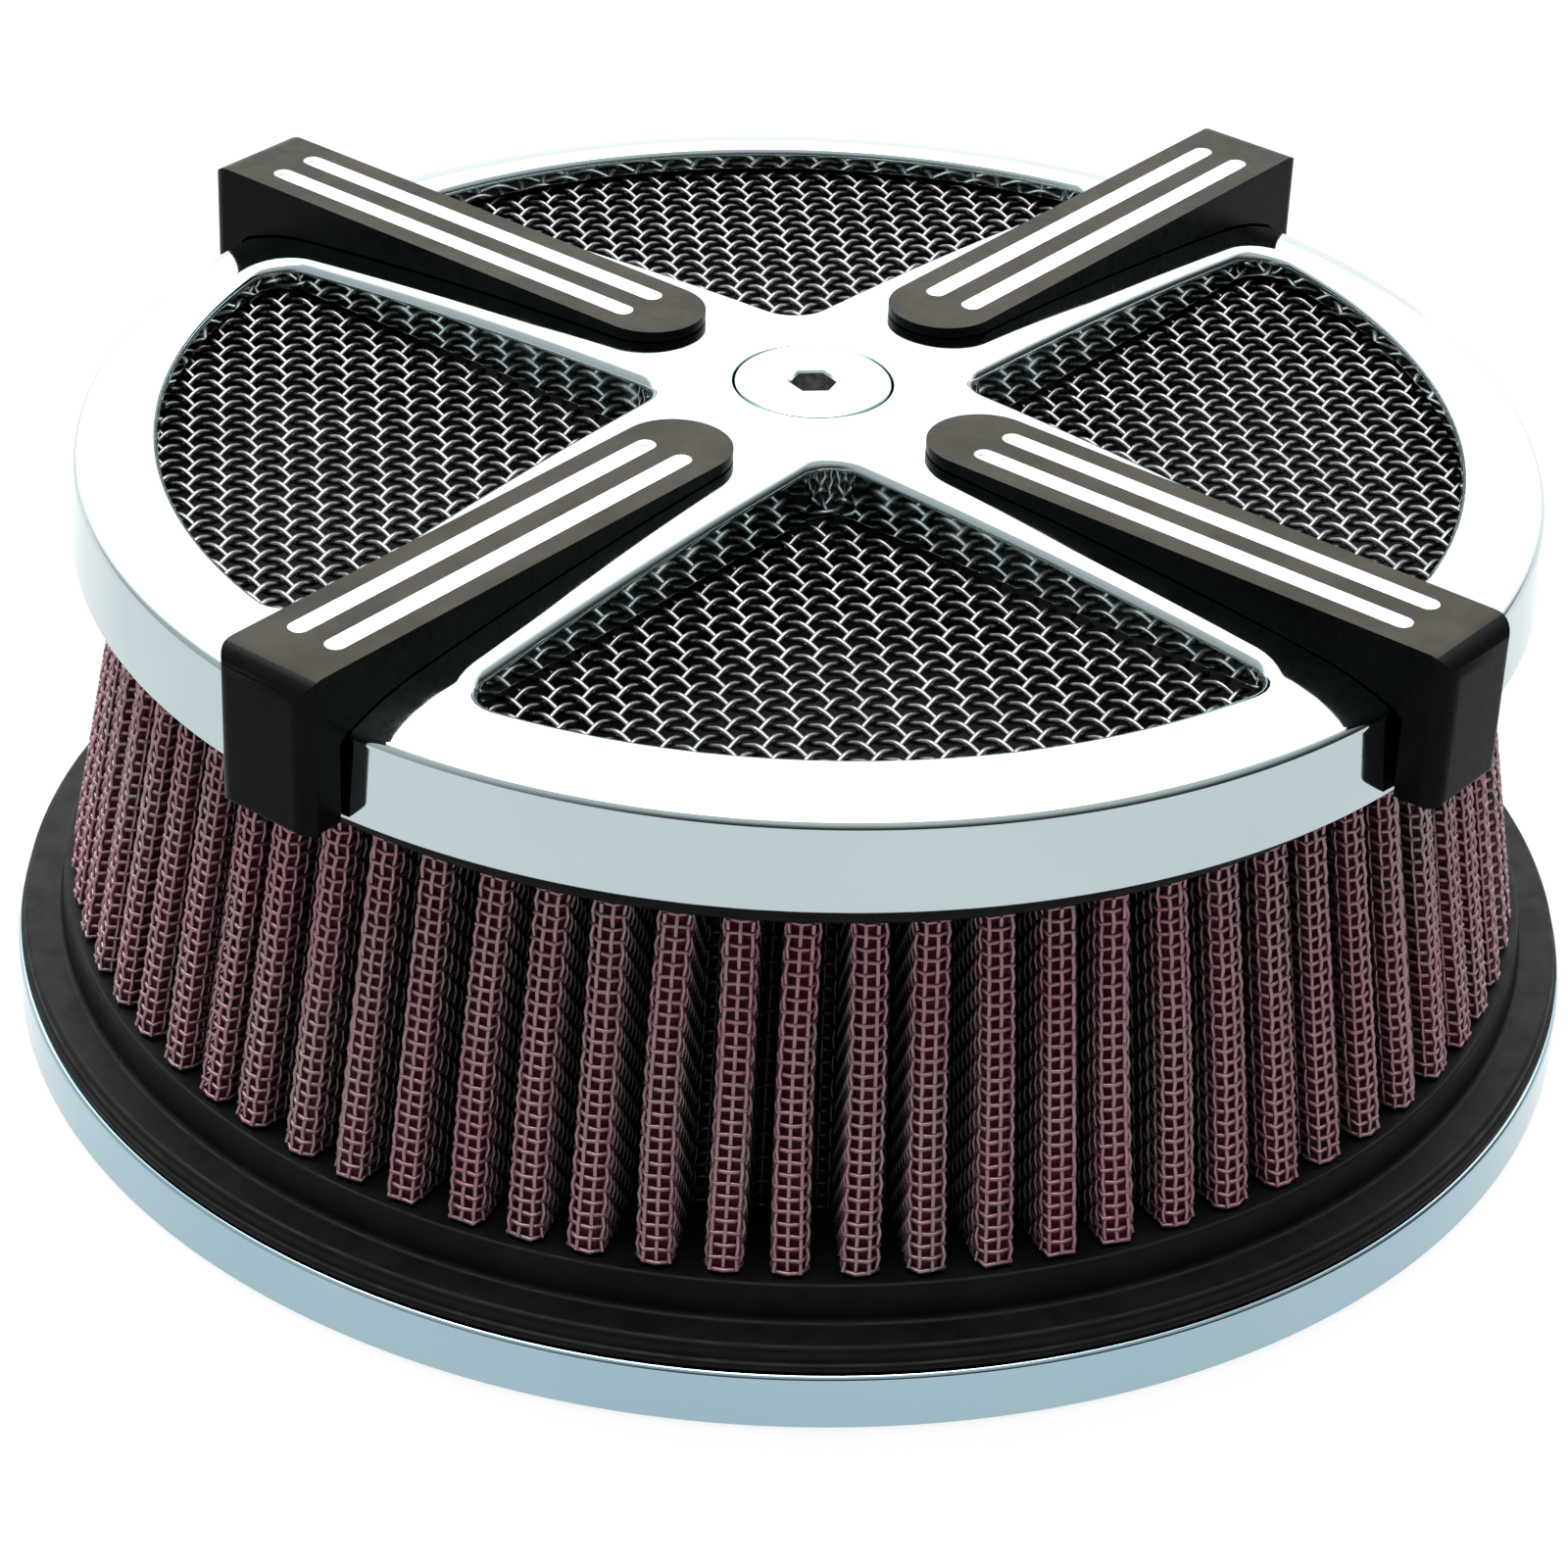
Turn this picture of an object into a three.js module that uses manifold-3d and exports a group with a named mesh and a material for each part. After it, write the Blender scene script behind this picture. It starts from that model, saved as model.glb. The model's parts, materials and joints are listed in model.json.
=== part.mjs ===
// Round motorcycle air cleaner: backplate, tapered pleated element, domed chrome cover with four
// mesh windows, four black claws and one centre screw. Millimetres, +Z up, the backplate's
// rim stands on z = 0 and the arms of the cover run at 45 degrees to X and Y.
import * as THREE from 'three';
import { mergeVertices } from 'three/addons/utils/BufferGeometryUtils.js';
import Module from 'manifold-3d';

const wasm = await Module();
wasm.setup();

// ---- driving dimensions -------------------------------------------------------------
const GAP = 0.3;                 // play between pieces that rest on each other
const ROUND = 48;                // sides of the large round pieces
const HALF_ROUND = 32;           // sides of the middle-sized ones
const SMALL_ROUND = 16;          // sides of bolts, bushes and bores

const RIM_RADIUS = 93.25;        // backplate
const RIM_HEIGHT = 7.0;
const RIM_WALL = 3.5;
const PLATE_THICKNESS = 3.5;
const BOSS_FACE = 1.5;           // height of the bosses' faces above the rim's foot
const BORE_RADIUS = 25.0;        // intake bore
const BOSS_RADIUS = 47.0;
const THROTTLE_CIRCLE = 40.0;    // radius of the three-screw circle
const THROTTLE_HOLE = 3.5;
const BREATHER_OFFSET = 57.0;    // from the centre to each breather bolt
const BREATHER_BOSS = 11.0;

const HORN_LIP_RADIUS = 31.0;    // velocity stack
const HORN_TOP = 19.0;
const HORN_FLANGE = 2.0;

const STRAP = 2.5;               // bridge bracket
const BRIDGE_TOP = 24.5;
const BRIDGE_LEG = 32.2;
const BRIDGE_WIDTH = 12.0;

const BASE_RADIUS = 92.5;        // element
const BASE_STEP_RADIUS = 88.0;
const BASE_STEP = 10.2;
const BASE_TOP = 14.7;
const BASE_INNER = 66.8;
const PLEATS = 74;
const PLEAT_START = 1.1;         // degrees from +X to the first crest
const PLEAT_CREST = 86.9;        // radius of the crests at the foot of the pleats
const PLEAT_DEPTH = 12.0;
const PLEAT_TAPER = 0.178;       // how much the radius falls per mm of height
const CAP_BOTTOM = 55.8;
const CAP_FLOOR = 3.0;
const CAP_RADIUS = 80.8;
const CAP_LIP = 3.6;
const CAP_TOP = 68.2;

const COVER_CENTRE_Z = 77.3;     // cover: a shallow dome whose rim rolls over
const COVER_DOME = 0.00079;      // its fall is this times the radius squared
const ROLL_RADIUS = 74.0;
const ROLL = 0.015;              // the further fall, times the square of the way past there
const COVER_WALL = 2.6;
const WINDOW_RADIUS = 74.6;
const WINDOW_FILLET = 4.0;
const ARM_HALF_WIDTH = 12.0;
const WINDOW_LIP = 2.2;          // thickness of the deep lip round each window
const LIP_BOTTOM = 69.6;
const CREASE_RADIUS = 84.0;
const SKIRT_RADIUS = 84.7;
const SKIRT_BOTTOM = 59.8;
const HUB_RADIUS = 13.0;
const HUB_BOTTOM = 60.0;

const SCREW_HEAD_RADIUS = 9.05;  // cover screw, 5/16-18 x 1 in
const SCREW_HEAD_HEIGHT = 4.3;
const SCREW_SHANK_RADIUS = 3.95;
const SCREW_LENGTH = 25.4;
const SCREW_KEY = 2.75;          // half the socket's width across its corners

const CLAW_TOP = 78.3;           // claws
const CLAW_HALF_WIDTH = 6.5;
const CLAW_TIP = 18.0;
const CLAW_END = 90.3;
const CLAW_LEG = 4.9;
const CLAW_LEG_BOTTOM = 60.0;
const CLAW_CORNER = 2.2;
const CLAW_BROW = 3.0;
const SLOT_OFFSET = 2.6;
const SLOT_RADIUS = 1.2;
const SLOT_START = 25.3;
const SLOT_END = 82.7;
const SLOT_DEPTH = 0.7;
const CLAW_SCREWS = [56.0, 73.0];  // along the arm

const MESH_BOTTOM = 67.9;        // flat window mesh
const MESH_TOP = 69.3;
const MESH_OVERLAP = 1.4;        // how far it runs on under the window's lip

const coverTopZ = (r) => {
  const past = Math.max(0, r - ROLL_RADIUS);
  return COVER_CENTRE_Z - COVER_DOME * r * r - ROLL * past * past;
};
const DOME_STEPS = [16, 27, 38, 49, 60, 68, 73, 77, 80, 82.5];  // radii of the dome's rings

// ---- materials ----------------------------------------------------------------------
const finish = (color, roughness, metalness) =>
  new THREE.MeshStandardMaterial({ color, roughness, metalness });
const chrome = finish(0xe9edf0, 0.06, 1.0);
const blackAnodised = finish(0x24221f, 0.42, 0.6);
const urethane = finish(0x101312, 0.5, 0.0);
const gauze = finish(0x5a2430, 0.9, 0.0);
const wire = finish(0x9c9794, 0.35, 1.0);
const aluminium = finish(0xc2c6ca, 0.35, 1.0);
const zincSteel = finish(0xa9adb3, 0.4, 1.0);
const fibre = finish(0x3c3a36, 0.85, 0.0);

// ---- solids -------------------------------------------------------------------------
const weld = (geometry) => {
  const bare = geometry.index ? geometry.clone() : mergeVertices(geometry.clone());
  bare.deleteAttribute('normal');
  bare.deleteAttribute('uv');
  const merged = mergeVertices(bare, 1e-4);
  const index = [];
  for (let i = 0; i < merged.index.count; i += 3) {
    const [a, b, c] = [0, 1, 2].map((k) => merged.index.getX(i + k));
    if (a !== b && b !== c && c !== a) index.push(a, b, c);
  }
  return { points: merged.attributes.position.array, index };
};

const signedVolume = ({ points, index }) => {
  const corner = (i) => new THREE.Vector3().fromArray(points, 3 * i);
  let sum = 0;
  for (let i = 0; i < index.length; i += 3) {
    const [a, b, c] = [0, 1, 2].map((k) => corner(index[i + k]));
    sum += a.dot(b.cross(c));
  }
  return sum / 6;
};

const solid = (geometry) => {
  const shape = weld(geometry);
  if (signedVolume(shape) < 0) shape.index.reverse();
  return new wasm.Manifold(new wasm.Mesh({
    numProp: 3,
    vertProperties: Float32Array.from(shape.points),
    triVerts: Uint32Array.from(shape.index),
  }));
};

const surface = (manifold) => {
  const mesh = manifold.getMesh();
  const geometry = new THREE.BufferGeometry();
  geometry.setAttribute('position', new THREE.BufferAttribute(mesh.vertProperties, 3));
  geometry.setIndex(new THREE.BufferAttribute(mesh.triVerts, 1));
  geometry.computeVertexNormals();
  return geometry;
};

// A profile of [radius, height] points turned about Z.
const turned = (profile, sides = ROUND) => {
  const points = profile.map(([r, z]) => new THREE.Vector2(r, z));
  if (profile[0][0] > 0) points.push(points[0].clone());
  return solid(new THREE.LatheGeometry(points, sides).rotateX(Math.PI / 2));
};

// A flat outline in X and Y raised from one height to another.
const raised = (shape, low, high, curveSegments = 5) =>
  solid(new THREE.ExtrudeGeometry(shape, { depth: high - low, bevelEnabled: false, curveSegments })
    .translate(0, 0, low));

// An outline in X and Z, as thick as the width given, centred on y = 0.
const slab = (outline, width) => {
  const shape = new THREE.Shape(outline.map(([x, z]) => new THREE.Vector2(x, z)));
  return solid(new THREE.ExtrudeGeometry(shape, { depth: width, bevelEnabled: false })
    .translate(0, 0, -width / 2).rotateX(Math.PI / 2));
};

const disc = (radius, low, high, sides = SMALL_ROUND) =>
  turned([[0, low], [radius, low], [radius, high], [0, high]], sides);

const hexPrism = (cornerRadius, low, high) =>
  solid(new THREE.CylinderGeometry(cornerRadius, cornerRadius, high - low, 6)
    .rotateX(Math.PI / 2).translate(0, 0, (low + high) / 2));

const moved = (manifold, x, y) => manifold.translate([x, y, 0]);

const group = new THREE.Group();

const place = (name, manifold, material, x = 0, y = 0, degrees = 0) => {
  const mesh = new THREE.Mesh(surface(manifold), material);
  mesh.name = name;
  mesh.position.set(x, y, 0);
  mesh.rotation.z = THREE.MathUtils.degToRad(degrees);
  group.add(mesh);
};

const around = (radius, degrees) => {
  const angle = THREE.MathUtils.degToRad(degrees);
  return [radius * Math.cos(angle), radius * Math.sin(angle)];
};
const throttleScrews = [90, 210, 330].map((degrees) => around(THROTTLE_CIRCLE, degrees));
const breathers = [['left', -BREATHER_OFFSET], ['right', BREATHER_OFFSET]];

const drilled = (body, places, radius, low, high) =>
  places.reduce((left, [x, y]) => left.subtract(moved(disc(radius, low, high), x, y)), body);

// ---- backplate and what is bolted to it ---------------------------------------------
const plateUnderside = RIM_HEIGHT - PLATE_THICKNESS;

const backplate = () => {
  const edge = 0.6;
  let plate = turned([
    [RIM_RADIUS, 0],
    [RIM_RADIUS, RIM_HEIGHT - edge],
    [RIM_RADIUS - edge, RIM_HEIGHT],
    [BORE_RADIUS, RIM_HEIGHT],
    [BORE_RADIUS, BOSS_FACE],
    [BOSS_RADIUS, BOSS_FACE],
    [BOSS_RADIUS, plateUnderside],
    [RIM_RADIUS - RIM_WALL, plateUnderside],
    [RIM_RADIUS - RIM_WALL, 0],
  ]);
  for (const [, x] of breathers) {
    plate = plate.add(moved(disc(BREATHER_BOSS, BOSS_FACE, plateUnderside + 1), x, 0));
  }
  plate = drilled(plate, throttleScrews, THROTTLE_HOLE, 0, RIM_HEIGHT + 1);
  return drilled(plate, breathers.map(([, x]) => [x, 0]), 6.8, 0, RIM_HEIGHT + 1);
};

const throttleGasket = () => {
  const ring = turned([
    [BORE_RADIUS + 0.5, GAP],
    [BOSS_RADIUS - 1, GAP],
    [BOSS_RADIUS - 1, BOSS_FACE - GAP],
    [BORE_RADIUS + 0.5, BOSS_FACE - GAP],
  ], HALF_ROUND);
  return drilled(ring, throttleScrews, THROTTLE_HOLE, 0, BOSS_FACE);
};

const stackSeat = RIM_HEIGHT + GAP;
const stackFlangeTop = stackSeat + HORN_FLANGE;

const velocityStack = () => {
  const flare = HORN_LIP_RADIUS - BORE_RADIUS;
  const throat = HORN_TOP - flare;
  const profile = [[BOSS_RADIUS - 1, stackSeat], [BOSS_RADIUS - 1, stackFlangeTop]];
  const wall = 1.8;
  profile.push([BORE_RADIUS + wall, stackFlangeTop]);
  const lip = (radius, degrees) => {
    const angle = THREE.MathUtils.degToRad(degrees);
    return [HORN_LIP_RADIUS - radius * Math.cos(angle), throat + radius * Math.sin(angle)];
  };
  profile.push(...[0, 45, 90].map((degrees) => lip(flare - wall, degrees)));
  profile.push(...[90, 60, 30, 0].map((degrees) => lip(flare, degrees)));
  profile.push([BORE_RADIUS, stackSeat]);
  const stack = turned(profile, HALF_ROUND);
  return drilled(stack, throttleScrews, THROTTLE_HOLE, stackSeat - 1, stackFlangeTop + 1);
};

const footBottom = stackFlangeTop + GAP;
const footTop = footBottom + STRAP;

const bridgeBracket = () => {
  const arm = slab([
    [0, BRIDGE_TOP - STRAP],
    [BRIDGE_LEG, BRIDGE_TOP - STRAP],
    [BRIDGE_LEG, footBottom],
    [BOSS_RADIUS - 1, footBottom],
    [BOSS_RADIUS - 1, footTop],
    [BRIDGE_LEG + 2, footTop],
    [BRIDGE_LEG + 2, BRIDGE_TOP],
    [0, BRIDGE_TOP],
  ], BRIDGE_WIDTH);
  let bracket = disc(11, BRIDGE_TOP - STRAP, BRIDGE_TOP);
  for (const degrees of [90, 210, 330]) {
    bracket = bracket.add(arm.rotate([0, 0, degrees]));
  }
  bracket = bracket.subtract(disc(5.3, BRIDGE_TOP - 5, BRIDGE_TOP + 1));
  return drilled(bracket, throttleScrews, THROTTLE_HOLE, footBottom - 1, footTop + 1);
};

const postSeat = BRIDGE_TOP + GAP;
const POST_TOP = 59.6;
const POST_RADIUS = 6.0;
const POST_BORE = SCREW_SHANK_RADIUS + GAP;
const STUD_RADIUS = 4.9;

const centrePost = () => {
  const post = turned([
    [0, 14],
    [STUD_RADIUS, 14],
    [STUD_RADIUS, postSeat],
    [POST_RADIUS, postSeat],
    [POST_RADIUS, POST_TOP],
    [POST_BORE, POST_TOP],
    [POST_BORE, 42],
    [0, 40],
  ], SMALL_ROUND);
  return post.add(hexPrism(8.2, postSeat, postSeat + 5));
};

const postNut = () => {
  const top = BRIDGE_TOP - STRAP - GAP;
  return hexPrism(8.2, top - 5, top).subtract(disc(STUD_RADIUS + GAP, top - 6, top + 1));
};

const throttleScrew = () => {
  const seat = footTop + GAP;
  const screw = turned([
    [0, 0.5],
    [3.05, 0.5],
    [3.05, seat],
    [4.76, seat],
    [4.76, seat + 6.0],
    [4.36, seat + 6.4],
    [0, seat + 6.4],
  ], SMALL_ROUND);
  return screw.subtract(hexPrism(2.75, seat + 3, seat + 8));
};

const breatherWasher = () => {
  const low = RIM_HEIGHT + GAP;
  return turned([[6.8, low], [8.6, low], [8.6, low + 1.2], [6.8, low + 1.2]], SMALL_ROUND);
};

const breatherBolt = () => {
  const seat = RIM_HEIGHT + 2 * GAP + 1.2;
  const headTop = seat + 8;
  let bolt = hexPrism(9.15, seat, headTop).add(disc(6.3, 0.5, seat + 1));
  bolt = bolt.subtract(disc(3.2, 0, headTop - 2));
  const port = solid(new THREE.CylinderGeometry(1.8, 1.8, 24, 12)).translate([0, 0, seat + 4]);
  return bolt.subtract(port);
};

place('backplate', backplate(), chrome);
place('throttle_gasket', throttleGasket(), fibre);
place('velocity_stack', velocityStack(), aluminium);
place('bridge_bracket', bridgeBracket(), zincSteel);
place('centre_post', centrePost(), zincSteel);
place('post_nut', postNut(), zincSteel);
throttleScrews.forEach(([x, y], i) => {
  place(`throttle_screw_${i + 1}`, throttleScrew(), zincSteel, x, y);
});
for (const [side, x] of breathers) {
  place(`breather_washer_${side}`, breatherWasher(), fibre, x);
  place(`breather_bolt_${side}`, breatherBolt(), zincSteel, x);
}

// ---- filter element -----------------------------------------------------------------
const elementBase = () => {
  const seat = RIM_HEIGHT + GAP;
  return turned([
    [BASE_RADIUS + 0.4, seat],
    [BASE_RADIUS + 0.4, seat + 0.6],
    [BASE_RADIUS, seat + 0.9],
    [BASE_RADIUS, BASE_STEP - 0.5],
    [BASE_RADIUS - 0.5, BASE_STEP],
    [BASE_STEP_RADIUS, BASE_STEP],
    [BASE_STEP_RADIUS - 0.6, BASE_TOP],
    [BASE_INNER, BASE_TOP],
    [BASE_INNER, seat],
  ]);
};

// A folded sheet that runs round the element: its crests and roots take turns, and every
// radius falls with the height. The sheet's thickness is measured along the radius.
const pleatLow = BASE_TOP + GAP;
const pleatHigh = CAP_BOTTOM - GAP;

const foldedSheet = (crest, thickness) => {
  const points = [];
  const index = [];
  const rings = [[crest, pleatLow], [crest, pleatHigh],
    [crest - thickness, pleatHigh], [crest - thickness, pleatLow]];
  const count = 2 * PLEATS;
  for (const [radius, z] of rings) {
    const lean = PLEAT_TAPER * (z - pleatLow);
    for (let i = 0; i < count; i += 1) {
      const angle = Math.PI * (PLEAT_START / 180 + i / PLEATS);
      const r = radius - lean - (i % 2) * PLEAT_DEPTH;
      points.push(r * Math.cos(angle), r * Math.sin(angle), z);
    }
  }
  rings.forEach((_, k) => {
    const here = k * count;
    const next = ((k + 1) % rings.length) * count;
    for (let i = 0; i < count; i += 1) {
      const j = (i + 1) % count;
      index.push(here + i, here + j, next + j);
      index.push(here + i, next + j, next + i);
    }
  });
  const sheet = new THREE.BufferGeometry();
  sheet.setAttribute('position', new THREE.Float32BufferAttribute(points, 3));
  sheet.setIndex(index);
  return solid(sheet);
};

const WIRE_SHEET = 1.15;         // along the radius: 0.3 mm across a fold's flank
const GAUZE_SHEET = 3.2;         // along the radius: 0.8 mm across a fold's flank
const SHEET_STEP = 1.2;          // from one sheet to the next, along the radius
const mediaCrest = PLEAT_CREST - WIRE_SHEET - SHEET_STEP;
const innerCrest = mediaCrest - GAUZE_SHEET - SHEET_STEP;

const topCap = () => turned([
  [8.6, CAP_BOTTOM],
  [CAP_RADIUS - 0.8, CAP_BOTTOM],
  [CAP_RADIUS, CAP_BOTTOM + 0.8],
  [CAP_RADIUS, CAP_TOP],
  [CAP_RADIUS - CAP_LIP, CAP_TOP],
  [CAP_RADIUS - CAP_LIP, CAP_BOTTOM + CAP_FLOOR],
  [8.6, CAP_BOTTOM + CAP_FLOOR],
]);

const capBush = () => turned([
  [6.4, CAP_BOTTOM - 0.8],
  [8.3, CAP_BOTTOM - 0.8],
  [8.3, CAP_BOTTOM + CAP_FLOOR + GAP],
  [11, CAP_BOTTOM + CAP_FLOOR + GAP],
  [11, HUB_BOTTOM - GAP],
  [6.4, HUB_BOTTOM - GAP],
], SMALL_ROUND);

place('element_base', elementBase(), urethane);
place('outer_wire_screen', foldedSheet(PLEAT_CREST, WIRE_SHEET), wire);
place('pleated_gauze', foldedSheet(mediaCrest, GAUZE_SHEET), gauze);
place('inner_wire_screen', foldedSheet(innerCrest, WIRE_SHEET), wire);
place('element_top_cap', topCap(), urethane);
place('cap_bush', capBush(), zincSteel);

// ---- cover --------------------------------------------------------------------------
// One window in the direction of +X: two straight sides along the arms, a round outer side
// about the centre, and a fillet in each corner. Margin grows it on every side.
const windowShape = (margin = 0) => {
  const offset = (ARM_HALF_WIDTH - margin) * Math.SQRT2;
  const fillet = WINDOW_FILLET + margin;
  const outer = WINDOW_RADIUS + margin;
  const apex = offset + fillet * Math.SQRT2;
  const reach = outer - fillet;
  const cornerX = (apex + Math.sqrt(2 * reach * reach - apex * apex)) / 2;
  const cornerY = cornerX - apex;
  const cornerAngle = Math.atan2(cornerY, cornerX);
  const eighth = Math.PI / 4;
  const shape = new THREE.Shape();
  shape.absarc(apex, 0, fillet, Math.PI + eighth, Math.PI - eighth, true);
  shape.absarc(cornerX, cornerY, fillet, Math.PI - eighth, cornerAngle, true);
  shape.absarc(0, 0, outer, cornerAngle, 0, true);
  shape.absarc(0, 0, outer, 0, -cornerAngle, true);
  shape.absarc(cornerX, -cornerY, fillet, -cornerAngle, eighth - Math.PI, true);
  return shape;
};

const headSeat = COVER_CENTRE_Z - SCREW_HEAD_HEIGHT;
const WASHER_THICKNESS = 0.7;
const counterboreFloor = headSeat - WASHER_THICKNESS - 2 * GAP;
const counterbore = SCREW_HEAD_RADIUS + 0.35;

const clawScrewHole = 2.4;
const clawScrewTip = CLAW_TOP - SLOT_DEPTH - 0.8 - GAP;
const armAngles = [['front_left', 225], ['front_right', 315], ['rear_right', 45], ['rear_left', 135]];
const windowAngles = [['right', 0], ['rear', 90], ['left', 180], ['front', 270]];

const cover = () => {
  const above = (r) => [r, coverTopZ(r)];
  const below = (r) => [r, coverTopZ(r) - COVER_WALL];
  const inside = SKIRT_RADIUS - COVER_WALL;
  const dome = DOME_STEPS.filter((r) => r < inside - 1);
  let body = turned([
    above(counterbore),
    ...DOME_STEPS.map(above),
    [CREASE_RADIUS + 0.2, coverTopZ(CREASE_RADIUS) - 0.9],
    [SKIRT_RADIUS, SKIRT_BOTTOM],
    [inside, SKIRT_BOTTOM],
    ...[...dome, inside - 0.4].reverse().map(below),
    [HUB_RADIUS, HUB_BOTTOM],
    [4.4, HUB_BOTTOM],
    [4.4, counterboreFloor],
    [counterbore, counterboreFloor],
  ]);
  const underDome = turned([
    [0, LIP_BOTTOM],
    [inside, LIP_BOTTOM],
    ...[...dome].reverse().map((r) => [r, coverTopZ(r) - 1]),
    [0, coverTopZ(0) - 1],
  ]);
  const lip = raised(windowShape(WINDOW_LIP), LIP_BOTTOM - 1, COVER_CENTRE_Z).intersect(underDome);
  const opening = raised(windowShape(), HUB_BOTTOM, COVER_CENTRE_Z + 2);
  for (const [, degrees] of windowAngles) {
    body = body.add(lip.rotate([0, 0, degrees])).subtract(opening.rotate([0, 0, degrees]));
  }
  for (const [, degrees] of armAngles) {
    const holes = CLAW_SCREWS.map((reach) => around(reach, degrees));
    body = drilled(body, holes, clawScrewHole, HUB_BOTTOM, COVER_CENTRE_Z + 2);
  }
  return body;
};

const windowMesh = () => raised(windowShape(MESH_OVERLAP), MESH_BOTTOM, MESH_TOP);

const claw = () => {
  const outline = new THREE.Shape();
  const tipCentre = CLAW_TIP + CLAW_HALF_WIDTH;
  const cornerX = CLAW_END - CLAW_CORNER;
  const cornerY = CLAW_HALF_WIDTH - CLAW_CORNER;
  outline.moveTo(CLAW_END, -cornerY);
  outline.lineTo(CLAW_END, cornerY);
  outline.absarc(cornerX, cornerY, CLAW_CORNER, 0, Math.PI / 2, false);
  outline.lineTo(tipCentre, CLAW_HALF_WIDTH);
  outline.absarc(tipCentre, 0, CLAW_HALF_WIDTH, Math.PI / 2, 3 * Math.PI / 2, false);
  outline.lineTo(cornerX, -CLAW_HALF_WIDTH);
  outline.absarc(cornerX, -cornerY, CLAW_CORNER, -Math.PI / 2, 0, false);
  const browAngles = [0, 0.125, 0.25, 0.375, 0.5].map((share) => share * Math.PI);
  const onBrow = (angle) => [
    CLAW_END - CLAW_BROW + CLAW_BROW * Math.cos(angle),
    CLAW_TOP - CLAW_BROW + CLAW_BROW * Math.sin(angle),
  ];
  const legInside = CLAW_END - CLAW_LEG;
  const onCover = (r) => [r, coverTopZ(r) + GAP];
  const side = slab([
    ...DOME_STEPS.map(onCover),
    onCover(CREASE_RADIUS),
    [legInside, coverTopZ(CREASE_RADIUS) - 0.9],
    [legInside, CLAW_LEG_BOTTOM],
    [CLAW_END + 1, CLAW_LEG_BOTTOM],
    [CLAW_END + 1, CLAW_TOP - CLAW_BROW - 0.5],
    ...browAngles.map(onBrow),
    [DOME_STEPS[0], CLAW_TOP],
  ], 4 * CLAW_HALF_WIDTH);
  let bar = raised(outline, CLAW_LEG_BOTTOM - 1, CLAW_TOP + 1, 8).intersect(side);
  for (const y of [-SLOT_OFFSET, SLOT_OFFSET]) {
    const slot = new THREE.Shape();
    const [from, to] = [SLOT_START + SLOT_RADIUS, SLOT_END - SLOT_RADIUS];
    slot.absarc(to, y, SLOT_RADIUS, -Math.PI / 2, Math.PI / 2, false);
    slot.absarc(from, y, SLOT_RADIUS, Math.PI / 2, 3 * Math.PI / 2, false);
    bar = bar.subtract(raised(slot, CLAW_TOP - SLOT_DEPTH, CLAW_TOP + 1, 4));
  }
  for (const reach of CLAW_SCREWS) {
    bar = drilled(bar, [[reach, 0]], clawScrewHole, CLAW_LEG_BOTTOM, clawScrewTip + GAP);
  }
  return bar;
};

const clawScrew = (reach) => {
  const seat = coverTopZ(reach + 4) - COVER_WALL - GAP;
  return turned([
    [0, seat - 2.2],
    [3.9, seat - 2.2],
    [3.9, seat],
    [2.05, seat],
    [2.05, clawScrewTip],
    [0, clawScrewTip],
  ], 12);
};

place('cover', cover(), chrome);
for (const [side, degrees] of windowAngles) {
  place(`window_mesh_${side}`, windowMesh(), wire, 0, 0, degrees);
}
for (const [corner, degrees] of armAngles) {
  place(`claw_${corner}`, claw(), blackAnodised, 0, 0, degrees);
  CLAW_SCREWS.forEach((reach, i) => {
    const [x, y] = around(reach, degrees);
    place(`claw_screw_${corner}_${['inner', 'outer'][i]}`, clawScrew(reach), zincSteel, x, y);
  });
}

// ---- cover screw --------------------------------------------------------------------
const coverScrew = () => {
  const chamfer = 0.35;
  const screw = turned([
    [0, headSeat - SCREW_LENGTH],
    [SCREW_SHANK_RADIUS - 0.8, headSeat - SCREW_LENGTH],
    [SCREW_SHANK_RADIUS, headSeat - SCREW_LENGTH + 0.8],
    [SCREW_SHANK_RADIUS, headSeat],
    [SCREW_HEAD_RADIUS, headSeat],
    [SCREW_HEAD_RADIUS, COVER_CENTRE_Z - chamfer],
    [SCREW_HEAD_RADIUS - chamfer, COVER_CENTRE_Z],
    [0, COVER_CENTRE_Z],
  ], HALF_ROUND);
  return screw.subtract(hexPrism(SCREW_KEY, COVER_CENTRE_Z - 3, COVER_CENTRE_Z + 1));
};

const screwWasher = () => turned([
  [4.3, counterboreFloor + GAP],
  [8.8, counterboreFloor + GAP],
  [8.8, headSeat - GAP],
  [4.3, headSeat - GAP],
], SMALL_ROUND);

place('screw_washer', screwWasher(), fibre);
place('cover_screw', coverScrew(), chrome);

export default group;
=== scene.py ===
"""A round motorcycle air cleaner: chrome cover with woven wire windows and black claws, pleated red
gauze element in a wire screen, chrome backplate. Lengths are in millimetres until a mesh is made."""
import json
import math

import bmesh
import bpy
import numpy as np
from mathutils import Matrix, Vector
from mathutils.geometry import delaunay_2d_cdt


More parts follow.
